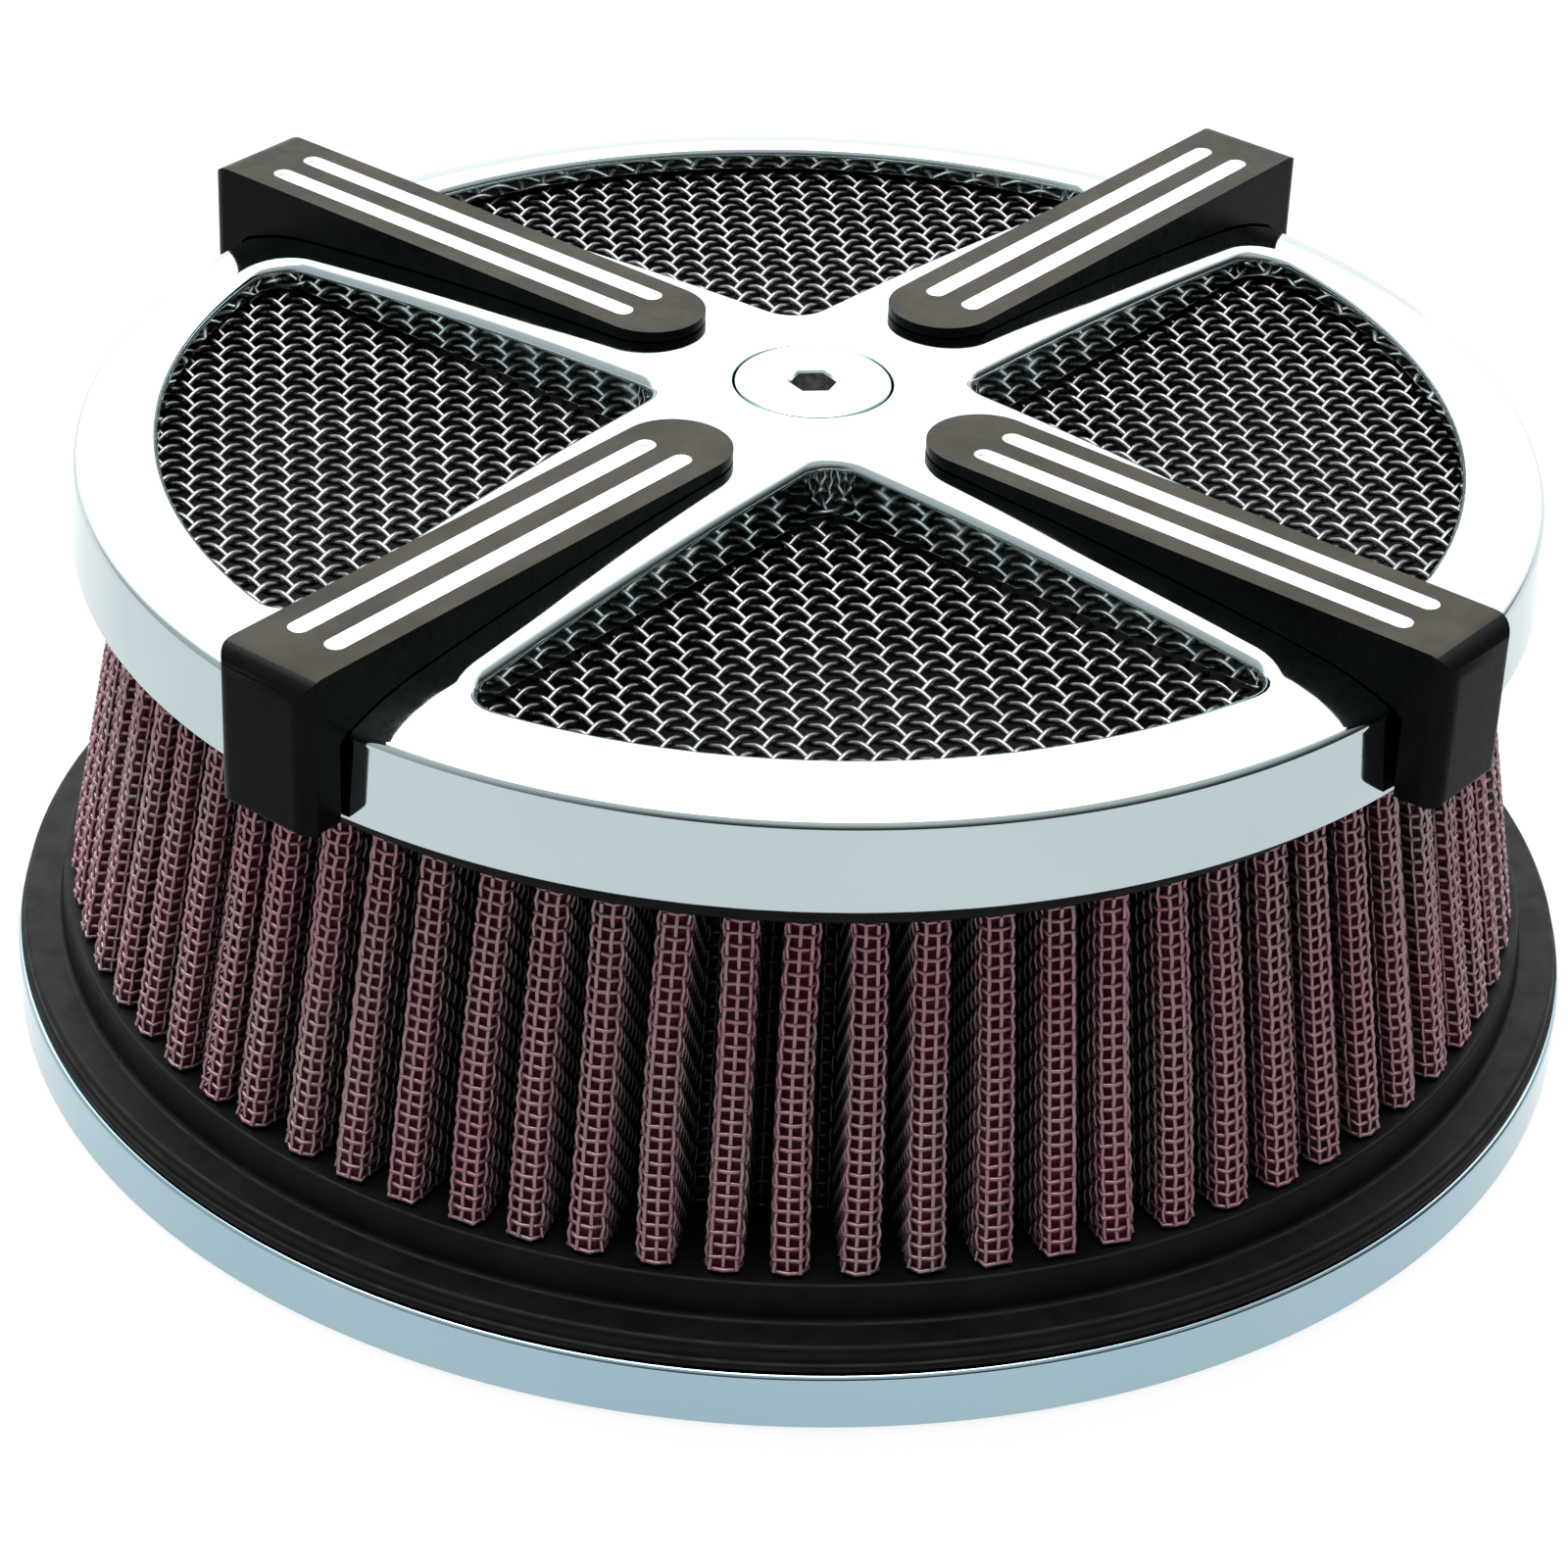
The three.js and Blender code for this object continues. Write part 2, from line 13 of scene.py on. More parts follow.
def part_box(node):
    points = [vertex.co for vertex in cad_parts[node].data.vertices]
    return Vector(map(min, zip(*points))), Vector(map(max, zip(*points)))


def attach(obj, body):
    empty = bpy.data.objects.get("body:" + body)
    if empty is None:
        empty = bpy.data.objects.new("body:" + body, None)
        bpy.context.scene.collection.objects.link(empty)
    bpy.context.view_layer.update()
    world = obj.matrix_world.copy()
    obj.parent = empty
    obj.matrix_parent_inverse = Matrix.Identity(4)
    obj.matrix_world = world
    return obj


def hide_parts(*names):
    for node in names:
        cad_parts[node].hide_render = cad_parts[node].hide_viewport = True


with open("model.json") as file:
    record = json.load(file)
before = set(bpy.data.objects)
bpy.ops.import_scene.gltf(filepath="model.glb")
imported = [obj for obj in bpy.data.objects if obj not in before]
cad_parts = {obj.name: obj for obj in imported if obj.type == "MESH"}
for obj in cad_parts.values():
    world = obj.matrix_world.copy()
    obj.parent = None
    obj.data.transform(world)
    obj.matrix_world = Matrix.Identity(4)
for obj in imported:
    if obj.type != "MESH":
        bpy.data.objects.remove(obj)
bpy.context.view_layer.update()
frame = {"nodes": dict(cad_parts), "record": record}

MM = 0.001
SCENE = bpy.context.scene


def low(node):
    return np.array(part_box(node)[0]) / MM


def high(node):
    return np.array(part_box(node)[1]) / MM


# ---- sizes -----------------------------------------------------------------------------
SIDES = 288                     # round pieces; four windows and 45 degree arms divide it

RIM_RADIUS = high("backplate")[0]
RIM_HEIGHT = high("backplate")[2]
PLATE_UNDERSIDE = RIM_HEIGHT - 3.5
RIM_WALL = 3.5
BOSS_FACE = 1.5
BORE_RADIUS = 25.0
BOSS_RADIUS = 47.0
THROTTLE_CIRCLE = 40.0
THROTTLE_HOLE = 3.5
BREATHER_OFFSET = (high("breather_bolt_right")[0] + low("breather_bolt_right")[0]) / 2
BREATHER_BOSS = 11.0
BREATHER_HOLE = 6.8

BASE_FOOT = low("element_base")[2]
BASE_TOP = high("element_base")[2]
BASE_RADIUS = high("element_base")[0] - 0.4
BASE_INNER = 66.8
BASE_STEP_RADIUS = 88.0
BASE_STEP = 10.2

PLEATS = 74
PLEAT_START = 1.1               # degrees from +X to the first crest
PLEAT_LOW = low("outer_wire_screen")[2]
PLEAT_HIGH = high("outer_wire_screen")[2]
PLEAT_CREST = high("outer_wire_screen")[0]
PLEAT_DEPTH = 12.0
PLEAT_TAPER = 0.178             # how far the folds lean in for each millimetre up
FOLD_DEEP = 81.5                # at the foot, the painted shade in the folds is darkest in to here
FOLD_CREST = 86.0               # and gone from here, where the paint is brightest

CAP_LOW = low("element_top_cap")[2]
CAP_TOP = high("element_top_cap")[2]
CAP_RADIUS = high("element_top_cap")[0]
CAP_FLOOR = 3.0
CAP_LIP = 3.6
CAP_HOLE = 8.6

SKIRT_RADIUS = high("cover")[0]
SKIRT_BOTTOM = low("cover")[2]
COVER_CENTRE = high("cover_screw")[2]
SCREW_HEAD = high("cover_screw")[0]
COUNTERBORE = SCREW_HEAD + 0.2
COVER_DOME = 0.00079            # the top falls by this times the radius squared
ROLL_RADIUS = 74.0              # and from here by ROLL times the square of the way past it
ROLL = 0.015
COVER_WALL = 2.6
CREASE_RADIUS = 84.0
WINDOW_RADIUS = 74.6
WINDOW_FILLET = 4.0
ARM_HALF_WIDTH = 12.0
WINDOW_LIP = 2.2
MESH_BOTTOM = low("window_mesh_front")[2]
MESH_TOP = high("window_mesh_front")[2]
LIP_BOTTOM = MESH_TOP + 0.3
HUB_RADIUS = 13.0
HUB_BOTTOM = 60.0
SCREW_HOLE = 4.4
SOCKET_KEY = 2.75               # to the hexagon's corners

CLAW_TOP = high("claw_front_left")[2]
CLAW_BOTTOM = low("claw_front_left")[2]
CLAW_HALF_WIDTH = 6.5
CLAW_TIP = 18.0
CLAW_END = 90.3
CLAW_LEG = 4.9
CLAW_GAP = 0.12                 # over the cover
CLAW_CORNER = 2.2               # radius of the outer end's upright corners
CLAW_BROW = 3.0                 # of the edge over the outer end
CLAW_TOE = 0.8                  # and of the leg's foot
SLOT_OFFSET = 2.6
SLOT_RADIUS = 1.2
SLOT_START = 25.3
SLOT_END = 82.7
SLOT_DEPTH = 0.7

WINDOW_PITCH = 2.54             # 10 wires to the inch
WINDOW_WIRE = 0.35              # radius
MESH_OVERLAP = 1.3              # how far the weave runs on under the lip

SCREEN_PITCH = 25.4 / 18        # 18 wires to the inch
INNER_PITCH = 3.2
SCREEN_WIRE = 0.26              # radius

ARMS = {"front_left": 225, "front_right": 315, "rear_right": 45, "rear_left": 135}
WINDOWS = {"right": 0, "rear": 90, "left": 180, "front": 270}


# ---- materials ---------------------------------------------------------------------------
class Nodes:
    """A node tree, with short ways to make, join and remap its nodes."""

    def __init__(self, tree):
        self.tree = tree

    def node(self, kind, **settings):
        made = self.tree.nodes.new("ShaderNode" + kind)
        for key, value in settings.items():
            setattr(made, key, value)
        return made

    def link(self, source, target):
        self.tree.links.new(source, target)

    def remap(self, value, ins, outs, **settings):
        made = self.node("MapRange", **settings)
        for name, number in zip(("From Min", "From Max", "To Min", "To Max"), (*ins, *outs)):
            made.inputs[name].default_value = number
        self.link(value, made.inputs["Value"])
        return made.outputs["Result"]


NOISE_RANGE = (0.35, 0.65)      # where most of a noise texture's values lie


class Paint(Nodes):
    """A node material built step by step: colour, roughness and bump come from object space."""

    def __init__(self, name, color, roughness, metallic=0.0, **fixed):
        self.material = bpy.data.materials.new(name)
        self.material.use_nodes = True
        super().__init__(self.material.node_tree)
        self.shader = self.tree.nodes["Principled BSDF"]
        sockets = {"Base Color": (*color, 1), "Roughness": roughness, "Metallic": metallic}
        sockets.update((name.replace("_", " "), value) for name, value in fixed.items())
        for socket, value in sockets.items():
            self.shader.inputs[socket].default_value = value
        self.place = self.node("TexCoord").outputs["Object"]

    def noise(self, per_metre, detail):
        texture = self.node("TexNoise")
        for name, number in (("Scale", per_metre), ("Detail", detail), ("Roughness", 0.55)):
            texture.inputs[name].default_value = number
        self.link(self.place, texture.inputs["Vector"])
        return texture.outputs["Fac"]

    def color_by(self, share, first, second):
        """The colour goes from first to second with the share. Either may be a socket."""
        mix = self.node("Mix", data_type="RGBA")
        self.link(share, mix.inputs["Factor"])
        for name, color in (("A", first), ("B", second)):
            if isinstance(color, tuple):
                mix.inputs[name].default_value = (*color, 1)
            else:
                self.link(color, mix.inputs[name])
        self.link(mix.outputs["Result"], self.shader.inputs["Base Color"])
        return mix.outputs["Result"]

    def mottle(self, per_metre, detail, first, second):
        share = self.remap(self.noise(per_metre, detail), NOISE_RANGE, (0, 1))
        return self.color_by(share, first, second)

    def roughness_by(self, per_metre, detail, *outs):
        value = self.remap(self.noise(per_metre, detail), NOISE_RANGE, outs)
        self.link(value, self.shader.inputs["Roughness"])

    def bump(self, value, depth_mm):
        bump = self.node("Bump")
        bump.inputs["Distance"].default_value = depth_mm * MM
        self.link(value, bump.inputs["Height"])
        self.link(bump.outputs["Normal"], self.shader.inputs["Normal"])

    def fold_shade_share(self):
        """The share of light for the painted shade in the element's leaning folds: 1 on the crests, falling
        to 0 down between them.
        """
        flat = self.node("VectorMath", operation="MULTIPLY")
        self.link(self.place, flat.inputs[0])
        flat.inputs[1].default_value = (1, 1, 0)
        radius = self.node("VectorMath", operation="LENGTH")
        self.link(flat.outputs["Vector"], radius.inputs[0])
        parts = self.node("SeparateXYZ")
        self.link(self.place, parts.inputs["Vector"])
        lean = self.node("Math", operation="MULTIPLY_ADD")
        self.link(parts.outputs["Z"], lean.inputs[0])
        lean.inputs[1].default_value = PLEAT_TAPER
        self.link(radius.outputs["Value"], lean.inputs[2])
        foot = PLEAT_TAPER * PLEAT_LOW
        ins = ((FOLD_DEEP + foot) * MM, (FOLD_CREST + foot) * MM)
        return self.remap(lean.outputs["Value"], ins, (0, 1))


def mottled(name, colors, mottle, rough, metallic=0.0, bump=None, **fixed):
    """A paint whose colour, roughness and surface each follow a noise of their own.

    Each noise is (patches per metre, detail); rough adds the roughness at both ends of it, and
    bump adds the depth in mm."""
    paint = Paint(name, colors[0], rough[2], metallic, **fixed)
    paint.mottle(*mottle, *colors)
    paint.roughness_by(*rough)
    if bump:
        paint.bump(paint.noise(*bump[:2]), bump[2])
    return paint.material


def chrome_paint(name, *colors):
    return mottled(name, colors, (25, 3), (180, 4, 0.035, 0.08), 1.0, (60, 2, 0.004))


def gauze_paint():
    """Oiled cotton gauze: threads every 0.5 mm, red where the oil is thick, and darkened to near black down
    in the folds as painted shade.
    """
    paint = Paint("red_gauze", (0.06, 0.01, 0.017), 0.75, 0.0, Specular_IOR_Level=0.25)
    threads = paint.node("TexVoronoi")
    threads.inputs["Scale"].default_value = 1900
    paint.link(paint.place, threads.inputs["Vector"])
    oiled = paint.mottle(70, 3, (0.05, 0.003, 0.009), (0.10, 0.008, 0.022))
    # painted shade: the gauze's colour falls to near black down in the folds
    paint.color_by(paint.fold_shade_share(), (0.004, 0.001, 0.0014), oiled)
    paint.roughness_by(400, 3, 0.6, 0.85)
    paint.bump(paint.remap(threads.outputs["Distance"], (0.1, 0.7), (1, 0)), 0.12)
    return paint.material


def screen_paint():
    """Oiled wire in its own tone on the crests of the folds, darkened down between them as painted shade."""
    paint = Paint("screen_wire", (0.33, 0.24, 0.25), 0.42, 0.85)
    wire = paint.mottle(55, 3, (0.30, 0.15, 0.18), (0.27, 0.19, 0.19))
    # painted shade: the wire's colour falls to dark grey down in the folds
    paint.color_by(paint.fold_shade_share(), (0.065, 0.062, 0.066), wire)
    paint.roughness_by(500, 3, 0.34, 0.52)
    return paint.material


def aluminium_paint():
    """Spun aluminium: fine rings about the part's own axis."""
    paint = Paint("spun_aluminium", (0.74, 0.75, 0.76), 0.3, 1.0)
    rings = paint.node("TexWave", wave_type="RINGS", rings_direction="Z")
    rings.inputs["Scale"].default_value = 320
    rings.inputs["Distortion"].default_value = 0.6
    paint.link(paint.place, rings.inputs["Vector"])
    paint.color_by(rings.outputs["Fac"], (0.68, 0.69, 0.70), (0.78, 0.79, 0.80))
    paint.roughness_by(400, 3, 0.24, 0.38)
    paint.bump(rings.outputs["Fac"], 0.01)
    return paint.material


def fibre_paint():
    paint = Paint("gasket_fibre", (0.12, 0.11, 0.10), 0.85)
    paint.mottle(900, 5, (0.07, 0.065, 0.06), (0.19, 0.175, 0.15))
    paint.bump(paint.noise(2200, 4), 0.05)
    return paint.material


PAINTS = {
    "chrome": chrome_paint("chrome", (0.445, 0.53, 0.55), (0.475, 0.555, 0.57)),
    # The backplate's chrome: darker and bluer than the cover's, as painted shade in what its rim reflects.
    "base_chrome": chrome_paint("base_chrome", (0.335, 0.475, 0.54), (0.365, 0.50, 0.56)),
    # The claws' sides: black anodising, kept darker than the tops as painted shade.
    "black_anodised": mottled("black_anodised", ((0.0012, 0.0018, 0.0015), (0.0026, 0.0033, 0.0028)),
                              (120, 4), (900, 3, 0.24, 0.36), bump=(5200, 2, 0.008),
                              Specular_IOR_Level=0.04),
    # The claws' top faces: painted lighter than the sides as painted light from above, satin, and a little
    # brown.
    "anodised_lit_top": mottled("anodised_lit_top", ((0.021, 0.020, 0.0155), (0.031, 0.029, 0.0225)),
                            (120, 4), (900, 3, 0.34, 0.5), bump=(5200, 2, 0.01),
                            Specular_IOR_Level=0.03),
    "milled": mottled("milled_bright", ((0.94, 0.94, 0.93), (0.98, 0.98, 0.97)),
                      (300, 2), (1500, 3, 0.38, 0.48), 1.0),
    # Inside a screw's socket: darker, as painted shade down in the recess.
    "socket": mottled("socket_painted_shade", ((0.10, 0.10, 0.10), (0.28, 0.28, 0.27)),
                      (900, 3), (1500, 3, 0.34, 0.5), 0.8),
    "urethane": mottled("urethane", ((0.0012, 0.0018, 0.0016), (0.0032, 0.004, 0.0037)),
                        (90, 4), (300, 4, 0.42, 0.58), bump=(1400, 4, 0.03),
                        Specular_IOR_Level=0.08),
    "red_gauze": gauze_paint(),
    "screen_wire": screen_paint(),
    "window_wire": mottled("window_wire", ((0.10, 0.103, 0.101), (0.145, 0.147, 0.14)),
                           (90, 3), (900, 3, 0.2, 0.34), 1.0),
    "zinc_steel": mottled("zinc_steel", ((0.55, 0.56, 0.56), (0.70, 0.70, 0.67)),
                          (140, 4), (600, 3, 0.26, 0.44), 1.0, (1500, 3, 0.01)),
    "aluminium": aluminium_paint(),
    "gasket_fibre": fibre_paint(),
}


# ---- mesh building -------------------------------------------------------------------------
NO_TRIANGLES = np.zeros((0, 3), int)


class Skin:
    """Gathers patches of points, normals and faces, and welds them into one smooth mesh."""

    def __init__(self):
        self.points = []
        self.normals = []
        self.quads = []
        self.triangles = []
        self.count = 0

    def add(self, points, normals):
        start = self.count
        self.points.append(np.asarray(points, float).reshape(-1, 3))
        self.normals.append(np.asarray(normals, float).reshape(-1, 3))
        self.count += len(self.points[-1])
        return start

    def rings(self, points, normals, flip=False):
        """points is (rings, places, 3). Faces join each closed ring to the next one."""
        rows, places = points.shape[:2]
        start = self.add(points, normals)
        i = np.arange(rows - 1)[:, None] * places
        j = np.arange(places)[None, :]
        k = (j + 1) % places
        quad = np.stack([i + j, i + k, i + places + k, i + places + j], -1).reshape(-1, 4)
        self.quads.append((quad[:, ::-1] if flip else quad) + start)

    def wall(self, rows, flip=False):
        """Joins rows of (points, normals), one closed ring each."""
        self.rings(*(np.array(part) for part in zip(*rows)), flip=flip)

    def patch(self, loops, height, normal, keep, extra=(), flip=False):
        """Fills the plane between closed loops, lifted by height(x, y), where keep(x, y) holds."""
        flat = []
        edges = []
        for loop in loops:
            first = len(flat)
            flat += [Vector((float(x), float(y))) for x, y in loop]
            edges += [(first + n, first + (n + 1) % len(loop)) for n in range(len(loop))]
        flat += [Vector((float(x), float(y))) for x, y in extra]
        out, _, faces, *_ = delaunay_2d_cdt(flat, edges, [], 0, 1e-5)
        x, y = np.array([(p.x, p.y) for p in out]).T
        faces = np.array([f for f in faces if len(f) == 3])
        faces = faces[keep(x[faces].mean(1), y[faces].mean(1))]
        start = self.add(np.column_stack([x, y, height(x, y)]), normal(x, y))
        self.triangles.append((faces[:, ::-1] if flip else faces) + start)

    def level_patch(self, loops, z, up, keep):
        self.patch(loops, lambda x, y: np.full(len(x), z),
                   lambda x, y: np.tile([0.0, 0.0, up], (len(x), 1)), keep, flip=up < 0)

    def plain(self):
        """Points, normals, quads and triangles, not welded: for wires, which never share points."""
        triangles = np.concatenate([NO_TRIANGLES, *self.triangles])
        return (*(np.concatenate(part) for part in (self.points, self.normals, self.quads)), triangles)

    def welded(self):
        points, normals, quads, triangles = self.plain()
        _, first, back = np.unique(np.round(points, 3), axis=0, return_index=True, return_inverse=True)
        back = back.reshape(-1)
        summed = np.zeros((len(first), 3))
        np.add.at(summed, back, normals)
        summed /= np.maximum(np.linalg.norm(summed, axis=1, keepdims=True), 1e-9)
        quads, triangles = back[quads], back[triangles]
        for a, b in ((0, 1), (1, 2), (2, 3), (3, 0)):
            thin = quads[:, a] == quads[:, b]
            others = [c for c in range(4) if c != a]
            triangles = np.concatenate([triangles, quads[thin][:, others]])
            quads = quads[~thin]
        triangles = triangles[np.all(triangles != np.roll(triangles, -1, 1), axis=1)]
        used = np.unique(np.concatenate([quads.ravel(), triangles.ravel()]))
        renumber = np.full(len(first), -1)
        renumber[used] = np.arange(len(used))
        return points[first][used], summed[used], renumber[quads], renumber[triangles]


def make_mesh(name, points, normals, quads, triangles):
    mesh = bpy.data.meshes.new(name)
    corners = np.concatenate([quads.ravel(), triangles.ravel()]).astype(np.int32)
    sizes = np.repeat([4, 3], [len(quads), len(triangles)])
    starts = np.concatenate([[0], np.cumsum(sizes)[:-1]]).astype(np.int32)
    mesh.vertices.add(len(points))
    mesh.vertices.foreach_set("co", (points * MM).astype(np.float32).ravel())
    mesh.loops.add(len(corners))
    mesh.loops.foreach_set("vertex_index", corners)
    mesh.polygons.add(len(sizes))
    mesh.polygons.foreach_set("loop_start", starts)
    mesh.update(calc_edges=True)
    mesh.validate()
    mesh.shade_smooth()
    mesh.normals_split_custom_set_from_vertices(normals.astype(np.float32).tolist())
    return mesh


def placed(name, mesh):
    piece = bpy.data.objects.new(name, mesh)
    SCENE.collection.objects.link(piece)
    return piece


def show(name, mesh, paints, body, slot, *nodes):
    """Puts a mesh in the scene as a piece that rides on a body and stands for CAD nodes."""
    piece = placed(name, mesh)
    for key in (paints if isinstance(paints, tuple) else (paints,)):
        if PAINTS[key].name not in mesh.materials:
            mesh.materials.append(PAINTS[key])
    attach(piece, body)
    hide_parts(*nodes)
    return piece


def skin_piece(name, skin, paint, body, slot, *nodes):
    return show(name, make_mesh(name, *skin.welded()), paint, body, slot, *nodes)


def rounded(corners, steps=5):
    """Corners are (r, z, fillet). Gives points and outward normals of the filleted outline.

    The outline runs with the solid on its left, so the outward side is on its right."""
    points = []
    normals = []
    count = len(corners)
    for n, (r, z, fillet) in enumerate(corners):
        here = np.array([r, z], float)
        into = here - np.array(corners[n - 1][:2], float)
        out = np.array(corners[(n + 1) % count][:2], float) - here
        into /= np.linalg.norm(into)
        out /= np.linalg.norm(out)
        turn = math.atan2(into[0] * out[1] - into[1] * out[0], into @ out)
        reach = fillet * abs(math.tan(turn / 2))
        start_normal = np.array([into[1], -into[0]])
        side = 1 if turn > 0 else -1
        centre = here - into * reach - start_normal * fillet * side
        for step in range(steps + 1):
            angle = turn * step / steps
            c, s = math.cos(angle), math.sin(angle)
            normal = np.array([[c, -s], [s, c]]) @ start_normal
            points.append(centre + normal * fillet * side)
            normals.append(normal)
    return np.array(points), np.array(normals)


def spun(points, normals, sides=SIDES):
    """Turns a profile of (r, z) about Z: (profile, sides, 3) points and normals."""
    angle = 2 * math.pi * np.arange(sides) / sides
    c, s = np.cos(angle), np.sin(angle)

    def turn(profile):
        r, z = profile[:, :1], profile[:, 1:]
        return np.stack([r * c, r * s, np.broadcast_to(z, (len(profile), sides))], -1)

    return turn(points), turn(normals)


def turned_skin(corners, sides=SIDES, steps=5):
    """A closed solid of revolution; its profile keeps the solid on the left as it runs."""
    points, normals = (np.concatenate([part, part[:1]]) for part in rounded(corners, steps))
    skin = Skin()
    skin.rings(*spun(points, normals, sides))
    return skin


def turned_strip(skin, corners, ends, steps=5):
    """Turns an open outline. Its first and last corners only give the directions there, and
    ends gives a point and a normal in the place of each."""
    points, normals = (part[steps + 1:-steps - 1] for part in rounded(corners, steps))
    (first, first_normal), (last, last_normal) = ends
    skin.rings(*spun(np.array([first, *points, last]), np.array([first_normal, *normals, last_normal])))


def arc(x, y, radius, start, end, count):
    t = np.linspace(start, end, count + 1)
    return np.column_stack([x + radius * np.cos(t), y + radius * np.sin(t)])


def circle(radius, count, x=0.0, y=0.0, turn=0.0):
    angle = 2 * math.pi * (np.arange(count) + turn) / count
    return np.column_stack([x + radius * np.cos(angle), y + radius * np.sin(angle)])


def around(radius, degrees):
    angle = math.radians(degrees)
    return radius * math.cos(angle), radius * math.sin(angle)


def outward(loop):
    """Unit vectors that point out of an anticlockwise loop."""
    ahead = np.roll(loop, -1, 0) - np.roll(loop, 1, 0)
    ahead /= np.linalg.norm(ahead, axis=1, keepdims=True)
    return np.column_stack([ahead[:, 1], -ahead[:, 0]])


def lifted(loop, z):
    """A flat loop's points with one height, or with a height each."""
    return np.column_stack([loop, np.broadcast_to(z, len(loop))])


def turned_copy(mesh, degrees):
    copy = mesh.copy()
    copy.transform(Matrix.Rotation(math.radians(degrees), 4, "Z"))
    return copy


# ---- backplate -----------------------------------------------------------------------------
THROTTLE_PLACES = [around(THROTTLE_CIRCLE, degrees) for degrees in (90, 210, 330)]
BREATHER_PLACES = [(-BREATHER_OFFSET, 0.0), (BREATHER_OFFSET, 0.0)]
PLATE_EDGE = 0.5                # rounding of the holes' mouths
BOSS_EDGE = 0.4                 # and of the bosses' faces


def hole_wall(skin, x, y, radius, sides):
    """The wall of a hole through the backplate, with rounded mouths."""
    inward = -outward(circle(radius, sides, x, y))
    high_mouth = [(PLATE_EDGE * (1 - math.sin(t)), RIM_HEIGHT - PLATE_EDGE * (1 - math.cos(t)),
                   math.cos(t), math.sin(t)) for t in np.linspace(0, math.pi / 2, 4)]
    low_mouth = [(margin, BOSS_FACE + RIM_HEIGHT - z, -up, side) for margin, z, up, side in high_mouth[::-1]]
    skin.wall([(lifted(circle(radius + margin, sides, x, y), z), lifted(inward * side, up))
               for margin, z, up, side in high_mouth + low_mouth])


def clear_of(holes):
    """A test of whether points lie outside every (x, y, radius, sides) hole."""
    return lambda x, y: np.all([np.hypot(x - hx, y - hy) > radius for hx, hy, radius, _ in holes], axis=0)


def boss_outline():
    """The joined outline of the round throttle boss and the two breather bosses."""
    big, small, offset = BOSS_RADIUS, BREATHER_BOSS, BREATHER_OFFSET
    cross_x = (big * big - small * small + offset * offset) / (2 * offset)
    cross_y = math.sqrt(big * big - cross_x * cross_x)
    big_angle = math.atan2(cross_y, cross_x)
    small_angle = math.atan2(cross_y, cross_x - offset)
    half = np.concatenate([arc(offset, 0, small, -small_angle, small_angle, 40)[:-1],
                           arc(0, 0, big, big_angle, math.pi - big_angle, 100)[:-1]])
    return np.concatenate([half, -half])


def backplate():
    """The dish: its rim, web and boss are turned, its flat faces are filled round the holes."""
    skin = Skin()
    inside_rim = RIM_RADIUS - RIM_WALL
    web = BASE_INNER + 4            # the turned rim reaches in to here
    turned_strip(skin, [
        (web, PLATE_UNDERSIDE, 0.0),
        (inside_rim, PLATE_UNDERSIDE, 0.8),
        (inside_rim, 0.0, 0.5),
        (RIM_RADIUS, 0.0, 0.5),
        (RIM_RADIUS, RIM_HEIGHT, 0.7),
        (web, RIM_HEIGHT, 0.0),
    ], (((web, PLATE_UNDERSIDE), (0, -1)), ((web, RIM_HEIGHT), (0, 1))))
    holes = [(x, y, THROTTLE_HOLE, 48) for x, y in THROTTLE_PLACES]
    holes += [(x, y, BREATHER_HOLE, 48) for x, y in BREATHER_PLACES]
    holes.append((0.0, 0.0, BORE_RADIUS, SIDES))
    mouths = [(x, y, radius + PLATE_EDGE, sides) for x, y, radius, sides in holes]
    mouth_loops = [circle(radius, sides, x, y) for x, y, radius, sides in mouths]
    web_loop = circle(web, SIDES)
    bosses = [(0.0, 0.0, BOSS_RADIUS, SIDES)] + [(x, y, BREATHER_BOSS, SIDES) for x, y in BREATHER_PLACES]
    off_holes, off_bosses = clear_of(mouths), clear_of(bosses)
    outline = boss_outline()
    out = outward(outline)
    skin.level_patch([web_loop, *mouth_loops], RIM_HEIGHT, 1.0,
                     lambda x, y: off_holes(x, y) & (np.hypot(x, y) < web))
    skin.level_patch([web_loop, outline], PLATE_UNDERSIDE, -1.0,
                     lambda x, y: off_bosses(x, y) & (np.hypot(x, y) < web))
    skin.level_patch([outline - out * BOSS_EDGE, *mouth_loops], BOSS_FACE, -1.0,
                     lambda x, y: off_holes(x, y) & ~off_bosses(x, y))
    skin.wall([(lifted(outline - out * inset, z), lifted(out * math.sqrt(1 - up * up), up))
               for inset, z, up in ((0.0, PLATE_UNDERSIDE, 0.0), (0.0, BOSS_FACE + BOSS_EDGE, 0.0),
                                    (0.3 * BOSS_EDGE, BOSS_FACE + 0.3 * BOSS_EDGE, -0.7),
                                    (BOSS_EDGE, BOSS_FACE, -1.0))], flip=True)
    for hole in holes:
        hole_wall(skin, *hole)
    return skin


# the backplate wears the darker chrome of painted shade
skin_piece("backplate_shell", backplate(), "base_chrome", "backplate", "chrome", "backplate")


# ---- element -------------------------------------------------------------------------------
def element_base():
    foot = BASE_FOOT
    return turned_skin([
        (BASE_INNER, foot, 0.3),
        (BASE_RADIUS + 0.4, foot, 0.25),
        (BASE_RADIUS + 0.4, foot + 0.75, 0.3),
        (BASE_RADIUS - 0.1, foot + 1.0, 0.2),
        (BASE_RADIUS, BASE_STEP, 0.8),
        (BASE_STEP_RADIUS, BASE_STEP, 0.7),
        (BASE_STEP_RADIUS - 0.5, BASE_TOP, 0.6),
        (BASE_INNER, BASE_TOP, 0.8),
    ])


